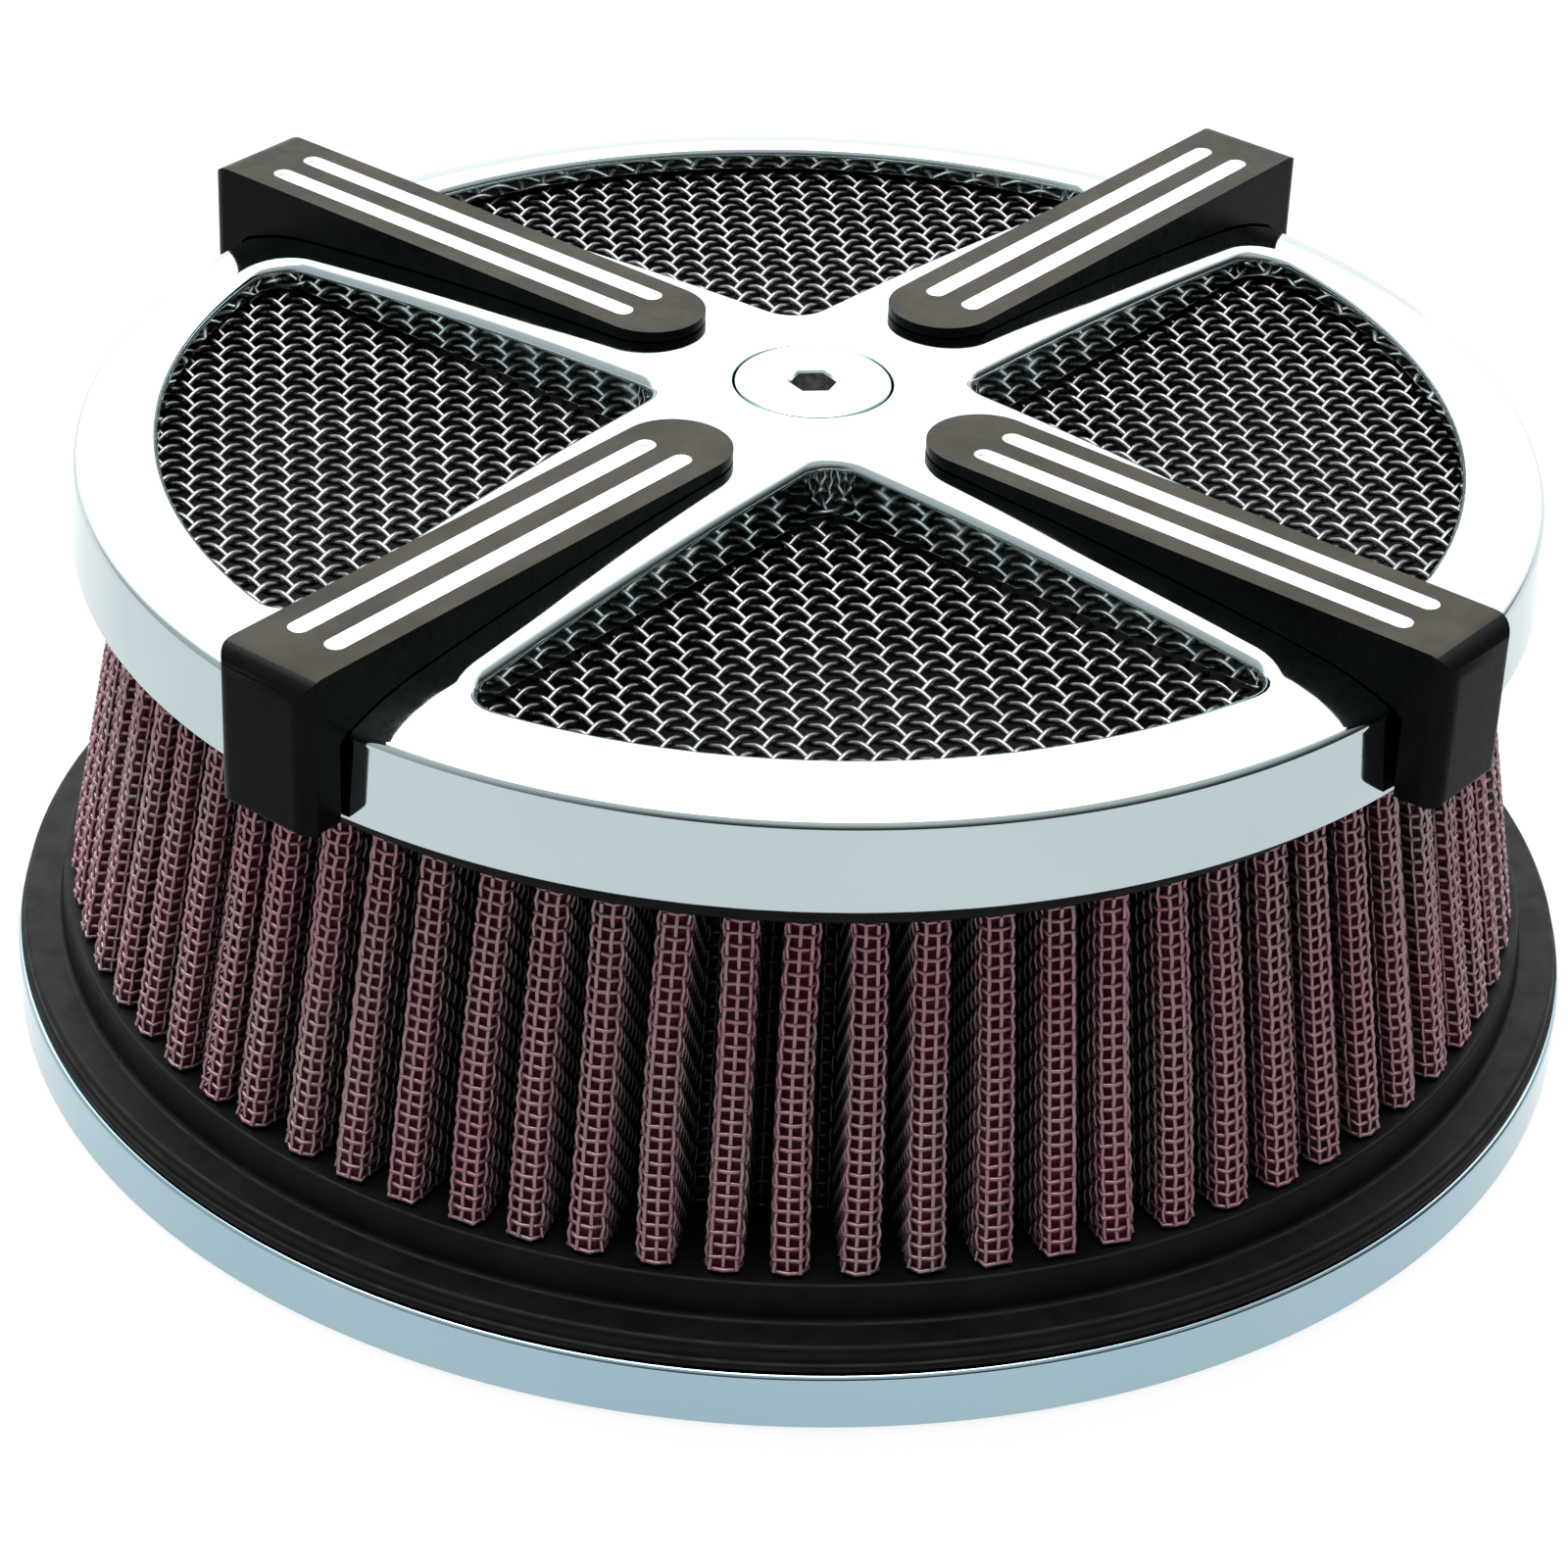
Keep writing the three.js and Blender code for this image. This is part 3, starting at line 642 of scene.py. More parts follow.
def top_cap():
    floor = CAP_LOW + CAP_FLOOR
    return turned_skin([
        (CAP_HOLE, CAP_LOW, 0.3),
        (CAP_RADIUS, CAP_LOW, 1.0),
        (CAP_RADIUS, CAP_TOP, 0.8),
        (CAP_RADIUS - CAP_LIP, CAP_TOP, 0.8),
        (CAP_RADIUS - CAP_LIP, floor, 1.5),
        (CAP_HOLE, floor, 0.4),
    ])


class Fold:
    """The folded surface of the element. Along is the distance round it, up the height share."""

    FLAT = 1.2                  # half the flat of a crest
    CREST = 1.15                # radius of a crest's corners, and of the root below
    ROOT = 0.75

    def __init__(self, inset, depth=PLEAT_DEPTH):
        self.inset = inset
        self.depth = depth
        draw = np.random.default_rng(7)
        self.lean = draw.normal(0, 0.24, PLEATS)
        self.sway = draw.normal(0, 0.16, PLEATS)
        self.path = self.outline()
        step = np.linalg.norm(np.diff(self.path[:, :2], axis=0, append=self.path[:1, :2]), axis=1)
        self.along = np.concatenate([[0], np.cumsum(step)])
        self.length = self.along[-1]

    def outline(self):
        """Every fold at the foot, walked once round: x, y, angle, and depth below the crests."""
        crest = max(0.35, self.CREST - self.inset)
        root = self.ROOT + self.inset
        rows = []
        pitch = 2 * math.pi / PLEATS
        top = PLEAT_CREST - self.inset
        bottom = top - self.depth
        for n in range(PLEATS):
            for side in (-1, 1):
                for t in np.linspace(0, math.pi / 2, 6)[::side]:
                    x = side * (self.FLAT + crest * math.sin(t))
                    drop = crest * (1 - math.cos(t))
                    rows.append((n * pitch + x / (top - drop), drop))
            for t in np.linspace(-math.pi / 2, math.pi / 2, 7):
                x = root * math.sin(t)
                rise = root * (1 - math.cos(t))
                rows.append((n * pitch + pitch / 2 + x / (bottom + rise), self.depth - rise))
        angle, drop = np.array(rows).T
        radius = top - drop
        return np.column_stack([radius * np.cos(angle), radius * np.sin(angle), angle, drop])

    def place(self, along, up):
        """Points for distances round the fold and height shares from 0 to 1."""
        along = np.mod(along, self.length)
        wrapped = np.concatenate([self.path, self.path[:1]])
        wrapped[-1, 2] += 2 * math.pi
        angle = np.interp(along, self.along, wrapped[:, 2])
        drop = np.interp(along, self.along, wrapped[:, 3])
        pleat = np.round(angle / (2 * math.pi / PLEATS) - 0.02).astype(int) % PLEATS
        z = PLEAT_LOW + (PLEAT_HIGH - PLEAT_LOW) * up
        share = np.clip(1 - drop / self.depth, 0, 1)
        bow = np.sin(math.pi * up)
        shift = share * (self.lean[pleat] + self.sway[pleat] * bow)
        radius = PLEAT_CREST - self.inset - drop - PLEAT_TAPER * (z - PLEAT_LOW)
        angle = angle + shift / radius + math.radians(PLEAT_START)
        return np.stack([radius * np.cos(angle), radius * np.sin(angle), z], -1)

    def normal(self, along, up, step=0.05):
        """Outward normals by small differences."""
        ahead = self.place(along + step, up) - self.place(along - step, up)
        rise = self.place(along, up + 0.01) - self.place(along, up - 0.01)
        normal = np.cross(ahead, rise)
        return normal / np.linalg.norm(normal, axis=-1, keepdims=True)


def tubes(skin, points, normals, radius, sides):
    """Wires: points and surface normals are (wires, places, 3)."""
    tangent = np.gradient(points, axis=1)
    tangent /= np.linalg.norm(tangent, axis=-1, keepdims=True)
    across = np.cross(tangent, normals)
    across /= np.linalg.norm(across, axis=-1, keepdims=True)
    up = np.cross(across, tangent)
    angle = 2 * math.pi * (np.arange(sides) + 0.5) / sides
    out = np.cos(angle)[:, None] * up[:, :, None, :] + np.sin(angle)[:, None] * across[:, :, None, :]
    wires, places = points.shape[:2]
    start = skin.add(points[:, :, None, :] + radius * out, out)
    w = np.arange(wires)[:, None, None] * places * sides
    i = np.arange(places - 1)[None, :, None] * sides
    j = np.arange(sides)[None, None, :]
    k = (j + 1) % sides
    quad = np.stack([w + i + j, w + i + k, w + i + sides + k, w + i + sides + j], -1)
    skin.quads.append(quad.reshape(-1, 4) + start)
    fan = np.arange(1, sides - 1)
    for end, order in ((0, slice(None, None, -1)), (places - 1, slice(None))):
        corner = w[:, 0, :] + end * sides
        cap = np.stack([corner + 0 * fan, corner + fan, corner + fan + 1], -1).reshape(-1, 3)
        skin.triangles.append(cap[:, order] + start)


SCREEN_CRIMP = 0.55             # of a wire's radius
SCREEN_MARGIN = 0.4             # from the end wires to the screen's edges


def wire_screen(fold, pitch, quarter, sides):
    """A quarter of the woven screen: upright wires and level wires, over and under in turn."""
    skin = Skin()
    height = PLEAT_HIGH - PLEAT_LOW
    count = 4 * round(fold.length / pitch / 4)
    rows = round(height / pitch)
    first, last = quarter * count // 4, (quarter + 1) * count // 4
    k = np.arange(rows)
    shares = (SCREEN_MARGIN + (height - 2 * SCREEN_MARGIN) * k / (rows - 1)) / height
    # Both have a point at each crossing, and the level wires run on to the next quarter's first.
    for level, end in ((False, last), (True, last + 1)):
        i = np.arange(first, end)
        along, up = np.meshgrid(i * fold.length / count, shares, indexing="ij")
        over = np.where((i[:, None] + k) % 2 == level, 1.0, -1.0)
        if level:
            along, up, over = along.T, up.T, over.T
        normal = fold.normal(along, up)
        points = fold.place(along, up) + normal * (over * SCREEN_WIRE * SCREEN_CRIMP)[..., None]
        tubes(skin, points, normal, SCREEN_WIRE, sides)
    return skin


def gauze():
    """The folded gauze, as a closed sheet under the outer screen."""
    count = PLEATS * 20
    shares = np.linspace(0, 1, 18)
    rows = []
    for fold, order, side in ((Fold(1.05), shares, 1), (Fold(1.75, PLEAT_DEPTH - 0.2), shares[::-1], -1)):
        along = fold.length * np.arange(count) / count
        for share in order:
            up = np.full(count, share)
            rows.append((fold.place(along, up), fold.normal(along, up) * side))
    skin = Skin()
    skin.wall([*rows, rows[0]])
    return skin


skin_piece("base_seal", element_base(), "urethane", "element", "urethane", "element_base")
skin_piece("top_seal", top_cap(), "urethane", "element", "urethane", "element_top_cap")

def show_screen(place, fold, pitch, sides):
    for quarter in range(4):
        name = f"{place}_screen_{quarter + 1}"
        mesh = make_mesh(name, *wire_screen(fold, pitch, quarter, sides).plain())
        show(name, mesh, "screen_wire", "element", "screen_wire", f"{place}_wire_screen")


show_screen("outer", Fold(0.55), SCREEN_PITCH, 4)
mesh = make_mesh("gauze_folds", *gauze().plain())
show("gauze_folds", mesh, "red_gauze", "element", "red_gauze", "pleated_gauze")
show_screen("inner", Fold(2.35, PLEAT_DEPTH - 0.3), INNER_PITCH, 3)


# ---- cover ---------------------------------------------------------------------------------
def cover_slope(r):
    return 2 * COVER_DOME * r + 2 * ROLL * np.clip(r - ROLL_RADIUS, 0, None)


def cover_z(r):
    """Height of the cover's top: a shallow dome whose rim rolls over."""
    return COVER_CENTRE - COVER_DOME * r * r - ROLL * np.clip(r - ROLL_RADIUS, 0, None) ** 2


def cover_normal(x, y):
    r = np.maximum(np.hypot(x, y), 1e-6)
    slope = cover_slope(r)
    length = np.sqrt(1 + slope * slope)
    return np.column_stack([slope * x / r, slope * y / r, np.ones(len(x))]) / length[:, None]


def under_cover(loop, drop):
    """The points of a flat loop, brought to a distance below the cover's top."""
    return lifted(loop, cover_z(np.hypot(*loop.T)) - drop)


def window_form(margin):
    """A window's apex fillet centre and corner fillet centre, with its outline grown by margin."""
    fillet = WINDOW_FILLET + margin
    apex = (ARM_HALF_WIDTH - margin + fillet) * math.sqrt(2)
    reach = WINDOW_RADIUS + margin - fillet
    cx = (apex + math.sqrt(2 * reach * reach - apex * apex)) / 2
    return fillet, apex, reach, cx, cx - apex


def window_loop(margin, degrees=0.0):
    """The window's outline grown by margin, as points walked anticlockwise."""
    fillet, apex, reach, cx, cy = window_form(margin)
    turn = math.atan2(cy, cx)
    eighth = math.pi / 4
    tip = arc(apex, 0, fillet, math.pi - eighth, math.pi + eighth, 8)
    low_corner = arc(cx, -cy, fillet, -3 * eighth, -turn, 8)
    high_corner = arc(cx, cy, fillet, turn, 3 * eighth, 8)
    outer = arc(0, 0, reach + fillet, -turn, turn, 40)
    share = np.arange(1, 10)[:, None] / 10
    low_side = tip[-1] + (low_corner[0] - tip[-1]) * share
    high_side = high_corner[-1] + (tip[0] - high_corner[-1]) * share
    loop = np.concatenate([tip, low_side, low_corner, outer[1:-1], high_corner, high_side])
    a = math.radians(degrees)
    return loop @ np.array([[math.cos(a), math.sin(a)], [-math.sin(a), math.cos(a)]])


def inside_window(x, y, margin=0.0):
    """Whether points lie in any window, by folding them into the one along +X."""
    big, small = np.maximum(np.abs(x), np.abs(y)), np.minimum(np.abs(x), np.abs(y))
    fillet, apex, reach, cx, cy = window_form(margin)
    inner = np.maximum((small - (big - apex)) / math.sqrt(2), np.hypot(big, small) - reach)
    near_apex = big - apex + small < 0
    near_corner = ((big - apex + small) / 2 > cy) & (np.arctan2(small, big) > math.atan2(cy, cx))
    inner = np.where(near_apex, np.hypot(big - apex, small), inner)
    inner = np.where(near_corner, np.hypot(big - cx, small - cy), inner)
    return inner < fillet


EDGE_LENGTH = 3.0               # along the polished, ever tighter bend round a window's top edge
EDGE_GATHER = 1.6
RIM_START = 79.0                # the cover is turned from here out
HEAD_MOUTH = COUNTERBORE + 0.3
HUB_MOUTH = HUB_RADIUS + 0.8


def edge_bend():
    """The bend from flat to upright: (reach, drop, tilt), reach and drop from the bend's start."""
    share = np.linspace(0, 1, 400)
    tilt = math.pi / 2 * share ** EDGE_GATHER
    step = EDGE_LENGTH / (len(share) - 1)
    middle = (tilt[1:] + tilt[:-1]) / 2
    reach, drop = (np.concatenate([[0], np.cumsum(part * step)]) for part in (np.cos(middle), np.sin(middle)))
    pick = np.linspace(0, len(share) - 1, 12).astype(int)
    return reach[pick], drop[pick], tilt[pick]


def cover():
    skin = Skin()
    grid = np.concatenate([circle(radius, 96, turn=0.5) for radius in np.arange(13, RIM_START, 3.0)])
    edge = edge_bend()[0][-1]
    grid = grid[~inside_window(*grid.T, edge + 0.6)]
    for side, drop, hub, margin in ((1, 0.0, HEAD_MOUTH, edge), (-1, COVER_WALL, HUB_MOUTH, WINDOW_LIP)):
        loops = [circle(RIM_START, SIDES), circle(hub, SIDES)]
        loops += [window_loop(margin, degrees) for degrees in WINDOWS.values()]

        def solid(x, y):
            r = np.hypot(x, y)
            return (r < RIM_START) & (r > hub - 0.01) & ~inside_window(x, y, margin)

        skin.patch(loops, lambda x, y: cover_z(np.hypot(x, y)) - drop,
                   lambda x, y: cover_normal(x, y) * side, solid,
                   grid[np.hypot(*grid.T) > hub + 1.2], flip=side < 0)
    for degrees in WINDOWS.values():
        window_wall(skin, degrees)
    rim_profile(skin)
    hub_profile(skin)
    return skin


def window_wall(skin, degrees):
    """A window's top edge, its deep polished wall, the lip's foot and the lip's back."""
    inward = lifted(-outward(window_loop(0.0, degrees)), 0.0)
    down = np.array([0.0, 0.0, -1.0])
    rows = []
    reach, drop, tilt = edge_bend()
    for shift, fall, t in zip(reach, drop, tilt):
        loop = window_loop(reach[-1] - shift, degrees)
        rows.append((under_cover(loop, fall), cover_normal(*loop.T) * math.cos(t) + inward * math.sin(t)))
    foot, back = np.linspace(math.pi / 2, 0, 5), np.linspace(0, math.pi / 2, 3)
    for wide, fillet, side, turns in ((0.0, 0.3, 1, foot), (WINDOW_LIP, 0.1, -1, back)):
        for t in turns:
            loop = window_loop(wide + side * fillet * (1 - math.sin(t)), degrees)
            rows.append((lifted(loop, LIP_BOTTOM + fillet * (1 - math.cos(t))),
                         inward * side * math.sin(t) + down * math.cos(t)))
    rows.append((under_cover(window_loop(WINDOW_LIP, degrees), COVER_WALL), down - inward))
    skin.wall(rows)


def rim_profile(skin):
    """The rolled rim, the rounded crease, the skirt and its inside, joined to the flat fillings."""
    skirt_inside = SKIRT_RADIUS - COVER_WALL
    top = [(r, float(cover_z(r)), 0.0) for r in np.arange(RIM_START, CREASE_RADIUS - 0.6, 0.5)]
    under = [(r, z - COVER_WALL, 0.0) for r, z, _ in top if r < skirt_inside - 0.9]
    up = np.array([float(cover_slope(RIM_START)), 1.0])
    up /= np.linalg.norm(up)
    turned_strip(skin, [
        *under,
        (skirt_inside - 0.2, float(cover_z(skirt_inside)) - COVER_WALL, 0.5),
        (skirt_inside, SKIRT_BOTTOM, 0.35),
        (SKIRT_RADIUS, SKIRT_BOTTOM, 0.5),
        (CREASE_RADIUS + 0.15, float(cover_z(CREASE_RADIUS)), 1.3),
        *top[::-1],
    ], ((under[0][:2], -up), (top[0][:2], up)), steps=8)


def hub_profile(skin):
    """The hub under the cover, the screw's hole and the counterbore round its head."""
    floor_z = low("screw_washer")[2] - 0.3
    top = float(cover_z(HEAD_MOUTH))
    under = float(cover_z(HUB_MOUTH)) - COVER_WALL
    turned_strip(skin, [
        (HEAD_MOUTH + 4, top, 0.0),
        (COUNTERBORE, top, 0.25),
        (COUNTERBORE, floor_z, 0.3),
        (SCREW_HOLE, floor_z, 0.2),
        (SCREW_HOLE, HUB_BOTTOM, 0.4),
        (HUB_RADIUS, HUB_BOTTOM, 0.6),
        (HUB_RADIUS, under, 0.7),
        (HUB_MOUTH + 6, under, 0.0),
    ], (((HEAD_MOUTH, top), (0, 1)), ((HUB_MOUTH, under), (0, -1))), steps=4)


skin_piece("cover_shell", cover(), "chrome", "cover", "chrome", "cover")


# ---- claws ---------------------------------------------------------------------------------
def prism(name, outline, lift):
    """A closed solid between two copies of an outline: lift gives a point's two places."""
    points = [Vector(place) * MM for side in zip(*(lift(u, v) for u, v in outline)) for place in side]
    count = len(outline)
    faces = [tuple(range(count))[::-1], tuple(range(count, 2 * count))]
    faces += [(n, (n + 1) % count, count + (n + 1) % count, count + n) for n in range(count)]
    mesh = bpy.data.meshes.new(name)
    mesh.from_pydata(points, [], faces)
    mesh.update()
    return placed(name, mesh)


def upright(low_z, high_z):
    return lambda x, y: ((x, y, low_z), (x, y, high_z))


def crosswise(reach):
    return lambda x, z: ((x, reach, z), (x, -reach, z))


def cut(target, tool, operation):
    modifier = target.modifiers.new(operation, "BOOLEAN")
    modifier.operation = operation
    modifier.solver = "EXACT"
    modifier.material_mode = "TRANSFER"
    modifier.object = tool


def bevel(target, width, segments):
    modifier = target.modifiers.new("bevel", "BEVEL")
    modifier.width = width * MM
    modifier.segments = segments
    modifier.limit_method = "ANGLE"
    modifier.angle_limit = math.radians(40)


def settle(target, *tools):
    """Applies the modifiers, drops the tools and gives the finished mesh."""
    bpy.context.view_layer.update()
    graph = bpy.context.evaluated_depsgraph_get()
    mesh = bpy.data.meshes.new_from_object(target.evaluated_get(graph), depsgraph=graph)
    for thing in (target, *tools):
        bpy.data.objects.remove(thing)
    return mesh


def claw_block():
    """A claw without its grooves: its plan cut by its side view, with the top face marked for the lighter
    paint of painted light.
    """
    half = CLAW_HALF_WIDTH
    quarter = math.pi / 2
    corner, brow, toe = CLAW_CORNER, CLAW_BROW, CLAW_TOE
    outline = np.concatenate([
        arc(CLAW_END - corner, -half + corner, corner, -quarter, 0, 8),
        arc(CLAW_END - corner, half - corner, corner, 0, quarter, 8),
        arc(CLAW_TIP + half, 0, half, quarter, 3 * quarter, 40),
    ])
    plan = prism("claw_plan", outline, upright(CLAW_BOTTOM - 2, CLAW_TOP + 2))
    leg = CLAW_END - CLAW_LEG - 0.3
    over_cover = [(r, float(cover_z(r)) + CLAW_GAP) for r in np.linspace(CLAW_TIP - 3, CREASE_RADIUS, 40)]
    side = np.concatenate([
        over_cover,
        [(leg, over_cover[-1][1] - 0.9), (leg, CLAW_BOTTOM)],
        arc(CLAW_END - toe, CLAW_BOTTOM + toe, toe, -quarter, 0, 6),
        arc(CLAW_END - brow, CLAW_TOP - brow, brow, 0, quarter, 14),
        [(CLAW_TIP - 3, CLAW_TOP)],
    ])
    wedge = prism("claw_side", side, crosswise(2 * half))
    cut(plan, wedge, "INTERSECT")
    bevel(plan, 0.25, 3)
    for paint in ("black_anodised", "anodised_lit_top"):
        plan.data.materials.append(PAINTS[paint])
    block = settle(plan, wedge)
    # painted light: faces that look up take the lighter top paint, the others the darker shaded one
    for face in block.polygons:
        face.material_index = 1 if face.normal.z > 0.93 else 0
    return block


def claw_mesh():
    body = placed("claw_body", claw_block())
    quarter = math.pi / 2
    slots = []
    for y in (-SLOT_OFFSET, SLOT_OFFSET):
        outline = np.concatenate([
            arc(SLOT_END - SLOT_RADIUS, y, SLOT_RADIUS, -quarter, quarter, 16),
            arc(SLOT_START + SLOT_RADIUS, y, SLOT_RADIUS, quarter, 3 * quarter, 16),
        ])
        slot = prism("claw_slot", outline, upright(CLAW_TOP - SLOT_DEPTH, CLAW_TOP + 2))
        slot.data.materials.append(PAINTS["milled"])
        cut(body, slot, "DIFFERENCE")
        slots.append(slot)
    mesh = settle(body, *slots)
    mesh.shade_smooth()
    return mesh


def by_angle(piece, degrees):
    """Sharp edges for angles above the limit, and normals weighted by the larger faces."""
    piece.data.set_sharp_from_angle(angle=math.radians(degrees))
    weighted = piece.modifiers.new("weighted", "WEIGHTED_NORMAL")
    weighted.keep_sharp = True


claw = claw_mesh()
for corner, degrees in ARMS.items():
    paints = ("black_anodised", "anodised_lit_top", "milled")
    piece = show(f"claw_bar_{corner}", turned_copy(claw, degrees), paints, "cover", "black_anodised",
                 f"claw_{corner}")
    by_angle(piece, 35)


# ---- window meshes -------------------------------------------------------------------------
WEAVE_REACH = 100.0             # from the cover's centre along either wire, past every window


def weave_runs(index, along_first):
    """The stretches of one wire that lie inside the +X window's lip, as arrays along the wire."""
    run = np.arange(0, WEAVE_REACH, WINDOW_PITCH / 6)
    line = np.full(len(run), index * WINDOW_PITCH)
    a, b = (line, run) if along_first else (run, line)
    x, y = (a + b) * math.sqrt(0.5), (a - b) * math.sqrt(0.5)
    inside = inside_window(x, y, MESH_OVERLAP)
    ends = np.flatnonzero(np.diff(np.concatenate([[0], inside.astype(int), [0]])))
    return [(run[s:e], x[s:e], y[s:e]) for s, e in zip(ends[::2], ends[1::2]) if e - s > 5]


def window_weave():
    skin = Skin()
    middle = (MESH_BOTTOM + MESH_TOP) / 2
    for along_first in (False, True):
        for index in range(round(WEAVE_REACH / WINDOW_PITCH)):
            for run, x, y in weave_runs(index, along_first):
                wave = np.cos(math.pi * run / WINDOW_PITCH) * (-1) ** index
                crimp = WINDOW_WIRE * (wave if along_first else -wave)
                centre = np.column_stack([x, y, middle + crimp])
                up = np.broadcast_to([0.0, 0.0, 1.0], centre.shape)
                tubes(skin, centre[None], up[None], WINDOW_WIRE, 8)
    return skin


weave = make_mesh("window_weave", *window_weave().plain())
for side, degrees in WINDOWS.items():
    show(f"woven_window_{side}", turned_copy(weave, degrees), "window_wire", "cover", "window_wire",
         f"window_mesh_{side}")


# ---- screws --------------------------------------------------------------------------------
SCREW_SIDES = 72


def hexagon(corner_radius):
    """Points of a hexagon, evenly shared out along its six sides."""
    corners = np.array([around(corner_radius, 60 * n) for n in range(7)])
    share = np.arange(SCREW_SIDES // 6)[:, None] / (SCREW_SIDES // 6)
    return np.concatenate([a + (b - a) * share for a, b in zip(corners[:-1], corners[1:])])


def socket_head(skin, rim, top, key, depth, edge=0.25):
    """The flat of a head inside its rim, and the hexagon socket in it, with a broken edge."""
    mouth, inner = hexagon(key + edge), hexagon(key)
    rows = np.array([lifted(rim, top), lifted(mouth, top), lifted(inner, top - edge),
                     lifted(inner, top - depth), lifted(inner * 0.02, top - depth - 1.0)])
    side = lifted(-inner / np.linalg.norm(inner, axis=1, keepdims=True), 0.0)
    up = np.tile([0.0, 0.0, 1.0], (SCREW_SIDES, 1))
    for n, normal in enumerate((up, (side + up) / math.sqrt(2), side, up)):
        skin.rings(rows[n:n + 2], np.array([normal, normal]))


def socket_screw(name, node, centre, seat, head_radius, shank, depth, edge, *where):
    """A flat-headed socket screw on its axis, with darker paint on its socket's sides and floor as painted
    shade.
    """
    tip, top = low(node)[2], high(node)[2]
    points, normals = rounded([
        (0.01, tip, 0.0),
        (shank, tip, 0.5),
        (shank, seat, 0.1),
        (head_radius, seat, 0.2),
        (head_radius, top, edge),
        (0.01, top, 0.0),
    ], steps=4)
    skin = Skin()
    skin.rings(*spun(points[:-5], normals[:-5], SCREW_SIDES))
    socket_head(skin, circle(head_radius - edge, SCREW_SIDES), top, SOCKET_KEY, depth)
    points, normals, quads, triangles = skin.plain()
    mesh = make_mesh(name, points + (*centre, 0.0), normals, quads, triangles)
    show(name, mesh, *where, node)
    # painted shade: the faces down in the socket take the darker paint
    x, y, z = (points[quads].mean(1) - (0, 0, top)).T
    deep = (np.hypot(x, y) < SOCKET_KEY + 0.45) & (z < -0.3) & (z > -4.6)
    mesh.polygons.foreach_set("material_index", deep.astype(np.int32))


socket_screw("flush_screw", "cover_screw", (0, 0), high("screw_washer")[2] + 0.3, SCREW_HEAD, 3.95, 3.0, 0.4,
             ("chrome", "socket"), "cover_screw", "chrome")


# ---- the hidden hardware -------------------------------------------------------------------
def horn():
    """The velocity stack: a flange, a short wall and a bell mouth."""
    foot, top = low("velocity_stack")[2], high("velocity_stack")[2]
    lip = 31.0
    flare = lip - BORE_RADIUS
    throat = top - flare
    wall = 1.8
    flange = [(BORE_RADIUS, foot, 0.3), (BOSS_RADIUS - 1, foot, 0.3), (BOSS_RADIUS - 1, foot + 2, 0.4),
              (BORE_RADIUS + wall, foot + 2, 0.6)]

    def bell(radius, turns, rounded_end):
        return [(lip - radius * math.cos(t), throat + radius * math.sin(t), 0.3 if n == rounded_end else 0.0)
                for n, t in enumerate(turns)]

    outside = bell(flare - wall, np.linspace(0.25, math.pi / 2, 8), 7)
    inside = bell(flare, np.linspace(math.pi / 2, 0.15, 10), 0)
    return turned_skin(flange + outside + inside, 192, 3)


skin_piece("bell_mouth", horn(), "aluminium", "backplate", "aluminium", "velocity_stack")

for n, centre in enumerate(THROTTLE_PLACES, 1):
    node = f"throttle_screw_{n}"
    socket_screw(f"socket_screw_{n}", node, centre, high(node)[2] - 6.4, 4.76, 3.05, 3.4, 0.5,
                 ("zinc_steel", "socket"), "backplate", "zinc_steel")


def softened(name, paint, body, edge=0.2):
    """Shows a hidden piece of hardware with broken edges and smooth round faces."""
    source = frame["nodes"][name]
    mesh = source.data.copy()
    mesh.transform(source.matrix_world)
    mesh.materials.clear()
    form = bmesh.new()
    form.from_mesh(mesh)
    bmesh.ops.remove_doubles(form, verts=form.verts, dist=0.002 * MM)
    bmesh.ops.dissolve_limit(form, angle_limit=math.radians(2), verts=form.verts, edges=form.edges)
    form.to_mesh(mesh)
    form.free()
    mesh.normals_split_custom_set([(0, 0, 0)] * len(mesh.loops))
    mesh.shade_smooth()
    piece = show(f"{name}_finish", mesh, paint, body, paint, name)
    bevel(piece, edge, 2)
    by_angle(piece, 40)


for name in ("centre_post", "post_nut", "bridge_bracket", "breather_bolt_left", "breather_bolt_right"):
    softened(name, "zinc_steel", "backplate")
for name in ("throttle_gasket", "breather_washer_left", "breather_washer_right"):
    softened(name, "gasket_fibre", "backplate")
softened("cap_bush", "zinc_steel", "element")
softened("screw_washer", "gasket_fibre", "screw_carrier", 0.1)
for corner in ARMS:
    for place in ("inner", "outer"):
        softened(f"claw_screw_{corner}_{place}", "zinc_steel", "cover")

for subpart in frame["record"]["subparts"]:
    for place in frame["nodes"][subpart["node"]].material_slots:
        place.material = PAINTS[subpart["material_slot"]]


# ---- floor, lights, camera -----------------------------------------------------------------
def floor():
    """A pale floor that glows faintly, just under the part."""
    mesh = bpy.data.meshes.new("floor")
    reach = 6.0
    mesh.from_pydata([(-reach, -reach, 0), (reach, -reach, 0), (reach, reach, 0), (-reach, reach, 0)], [],
                     [(0, 1, 2, 3)])
    paint = Paint("floor", FLOOR_COLOR, 0.6, 0.0, Specular_IOR_Level=0.1,
                  Emission_Color=(1.0, 1.0, 1.0, 1), Emission_Strength=FLOOR_GLOW)
    paint.mottle(3, 3, FLOOR_COLOR, tuple(c * 1.02 for c in FLOOR_COLOR))
    mesh.materials.append(paint.material)
    piece = placed("floor", mesh)
    piece.location.z = -0.2 * MM


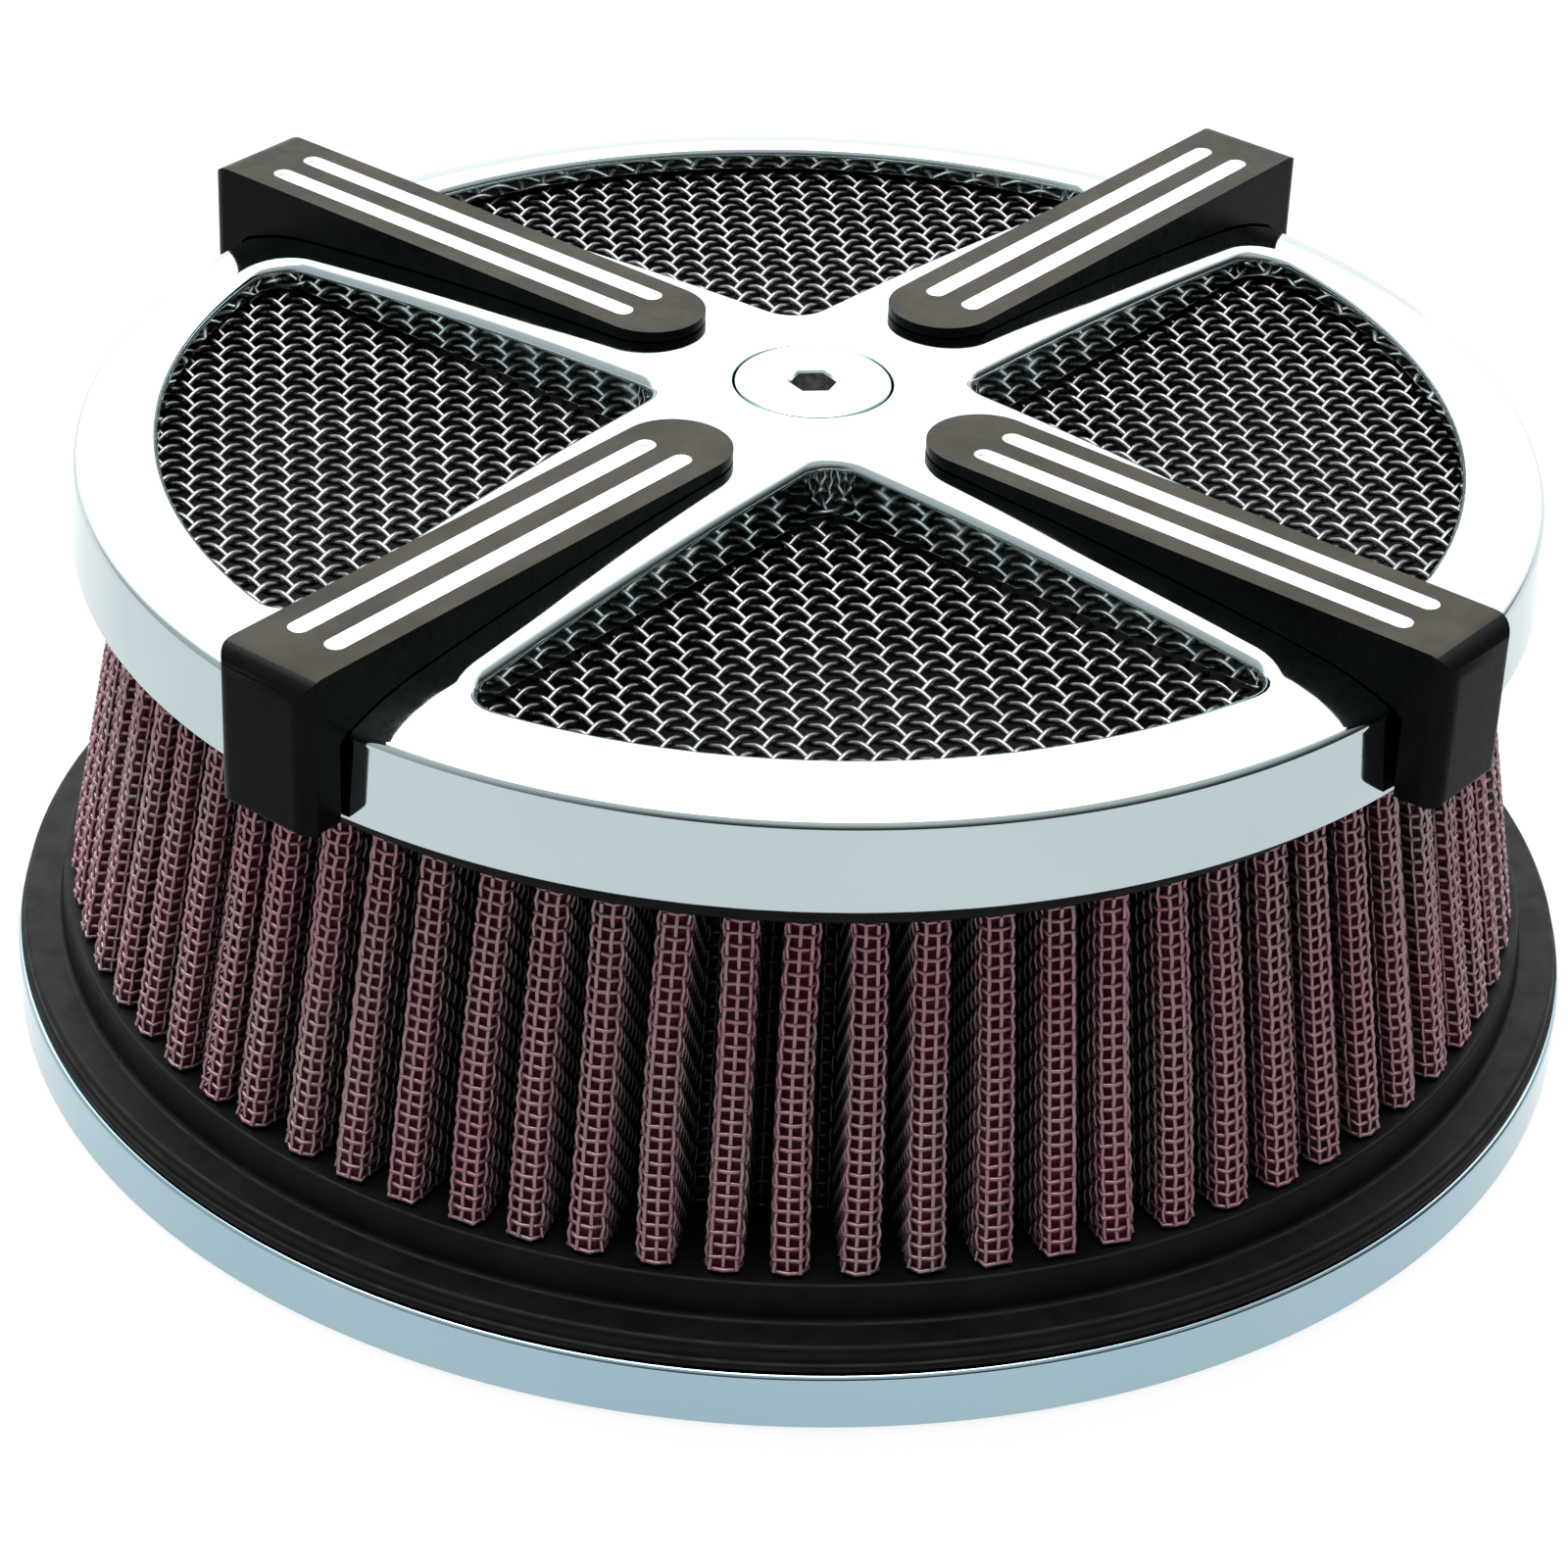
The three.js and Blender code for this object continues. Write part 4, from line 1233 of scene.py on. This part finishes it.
FLOOR_COLOR = (0.06, 0.063, 0.065)
FLOOR_GLOW = 0.88
SKY = (0.84, 0.86, 0.87)        # overhead
HORIZON_DARK = 0.07             # of the sky's strength, towards the front right
HORIZON_BRIGHT = 0.80           # towards the rear left
BRIGHT_SIDE = (-0.80, 0.60, 0.0)
BACK_STRENGTH = 1.75            # a pale wall of light behind the part
BACK = Vector((0.12, 0.84, 0.53)).normalized()
LAMP_STRENGTH = 11.0            # a soft lamp overhead, a little behind it
LAMP = Vector((-0.05, 0.20, 0.98)).normalized()


def sky():
    """A bright ceiling over a horizon that is dark at the front right and bright at the rear left."""
    world = bpy.data.worlds.new("studio")
    SCENE.world = world
    world.use_nodes = True
    tree = Nodes(world.node_tree)
    direction = tree.node("TexCoord").outputs["Generated"]

    def towards(aim, ins, outs):
        """A brightness that changes smoothly as the direction turns towards the aim."""
        share = tree.node("VectorMath", operation="DOT_PRODUCT")
        share.inputs[1].default_value = aim
        tree.link(direction, share.inputs[0])
        return tree.remap(share.outputs["Value"], ins, outs, interpolation_type="SMOOTHSTEP")

    level = tree.node("Mix", data_type="FLOAT")
    tree.link(towards((0, 0, 1), (0.20, 0.85), (0.0, 1.0)), level.inputs["Factor"])
    tree.link(towards(BRIGHT_SIDE, (-0.35, 0.75), (HORIZON_DARK, HORIZON_BRIGHT)), level.inputs["A"])
    level.inputs["B"].default_value = 1.0
    ceiling = tree.node("VectorMath", operation="SCALE")
    ceiling.inputs[0].default_value = SKY
    tree.link(level.outputs["Result"], ceiling.inputs["Scale"])
    lamps = tree.node("Math", operation="ADD")
    tree.link(towards(BACK, (0.45, 0.80), (0.0, BACK_STRENGTH)), lamps.inputs[0])
    tree.link(towards(LAMP, (0.82, 0.965), (0.0, LAMP_STRENGTH)), lamps.inputs[1])
    total = tree.node("VectorMath", operation="ADD")
    tree.link(ceiling.outputs["Vector"], total.inputs[0])
    tree.link(lamps.outputs["Value"], total.inputs[1])
    background = world.node_tree.nodes["Background"]
    tree.link(total.outputs["Vector"], background.inputs["Color"])
    background.inputs["Strength"].default_value = 1.0


def camera():
    """Seen from the front and above, turned a little about the part and tilted a little."""
    place = Vector((-62.35, -485.06, 325.42)) * MM
    yaw, pitch, roll = 0.125, -0.554, 0.042
    ahead = Vector((math.sin(yaw) * math.cos(pitch), math.cos(yaw) * math.cos(pitch), math.sin(pitch)))
    level_right = Vector((math.cos(yaw), -math.sin(yaw), 0.0))
    level_up = level_right.cross(ahead)
    right = level_right * math.cos(roll) + level_up * math.sin(roll)
    up = level_up * math.cos(roll) - level_right * math.sin(roll)
    turn = Matrix((right, up, -ahead)).transposed().to_4x4()
    data = bpy.data.cameras.new("camera")
    data.sensor_width = 36.0
    data.lens = 109.65
    eye = bpy.data.objects.new("camera", data)
    eye.matrix_world = Matrix.Translation(place) @ turn
    SCENE.collection.objects.link(eye)
    SCENE.camera = eye


floor()
sky()
camera()
SCENE.view_settings.view_transform = "Standard"
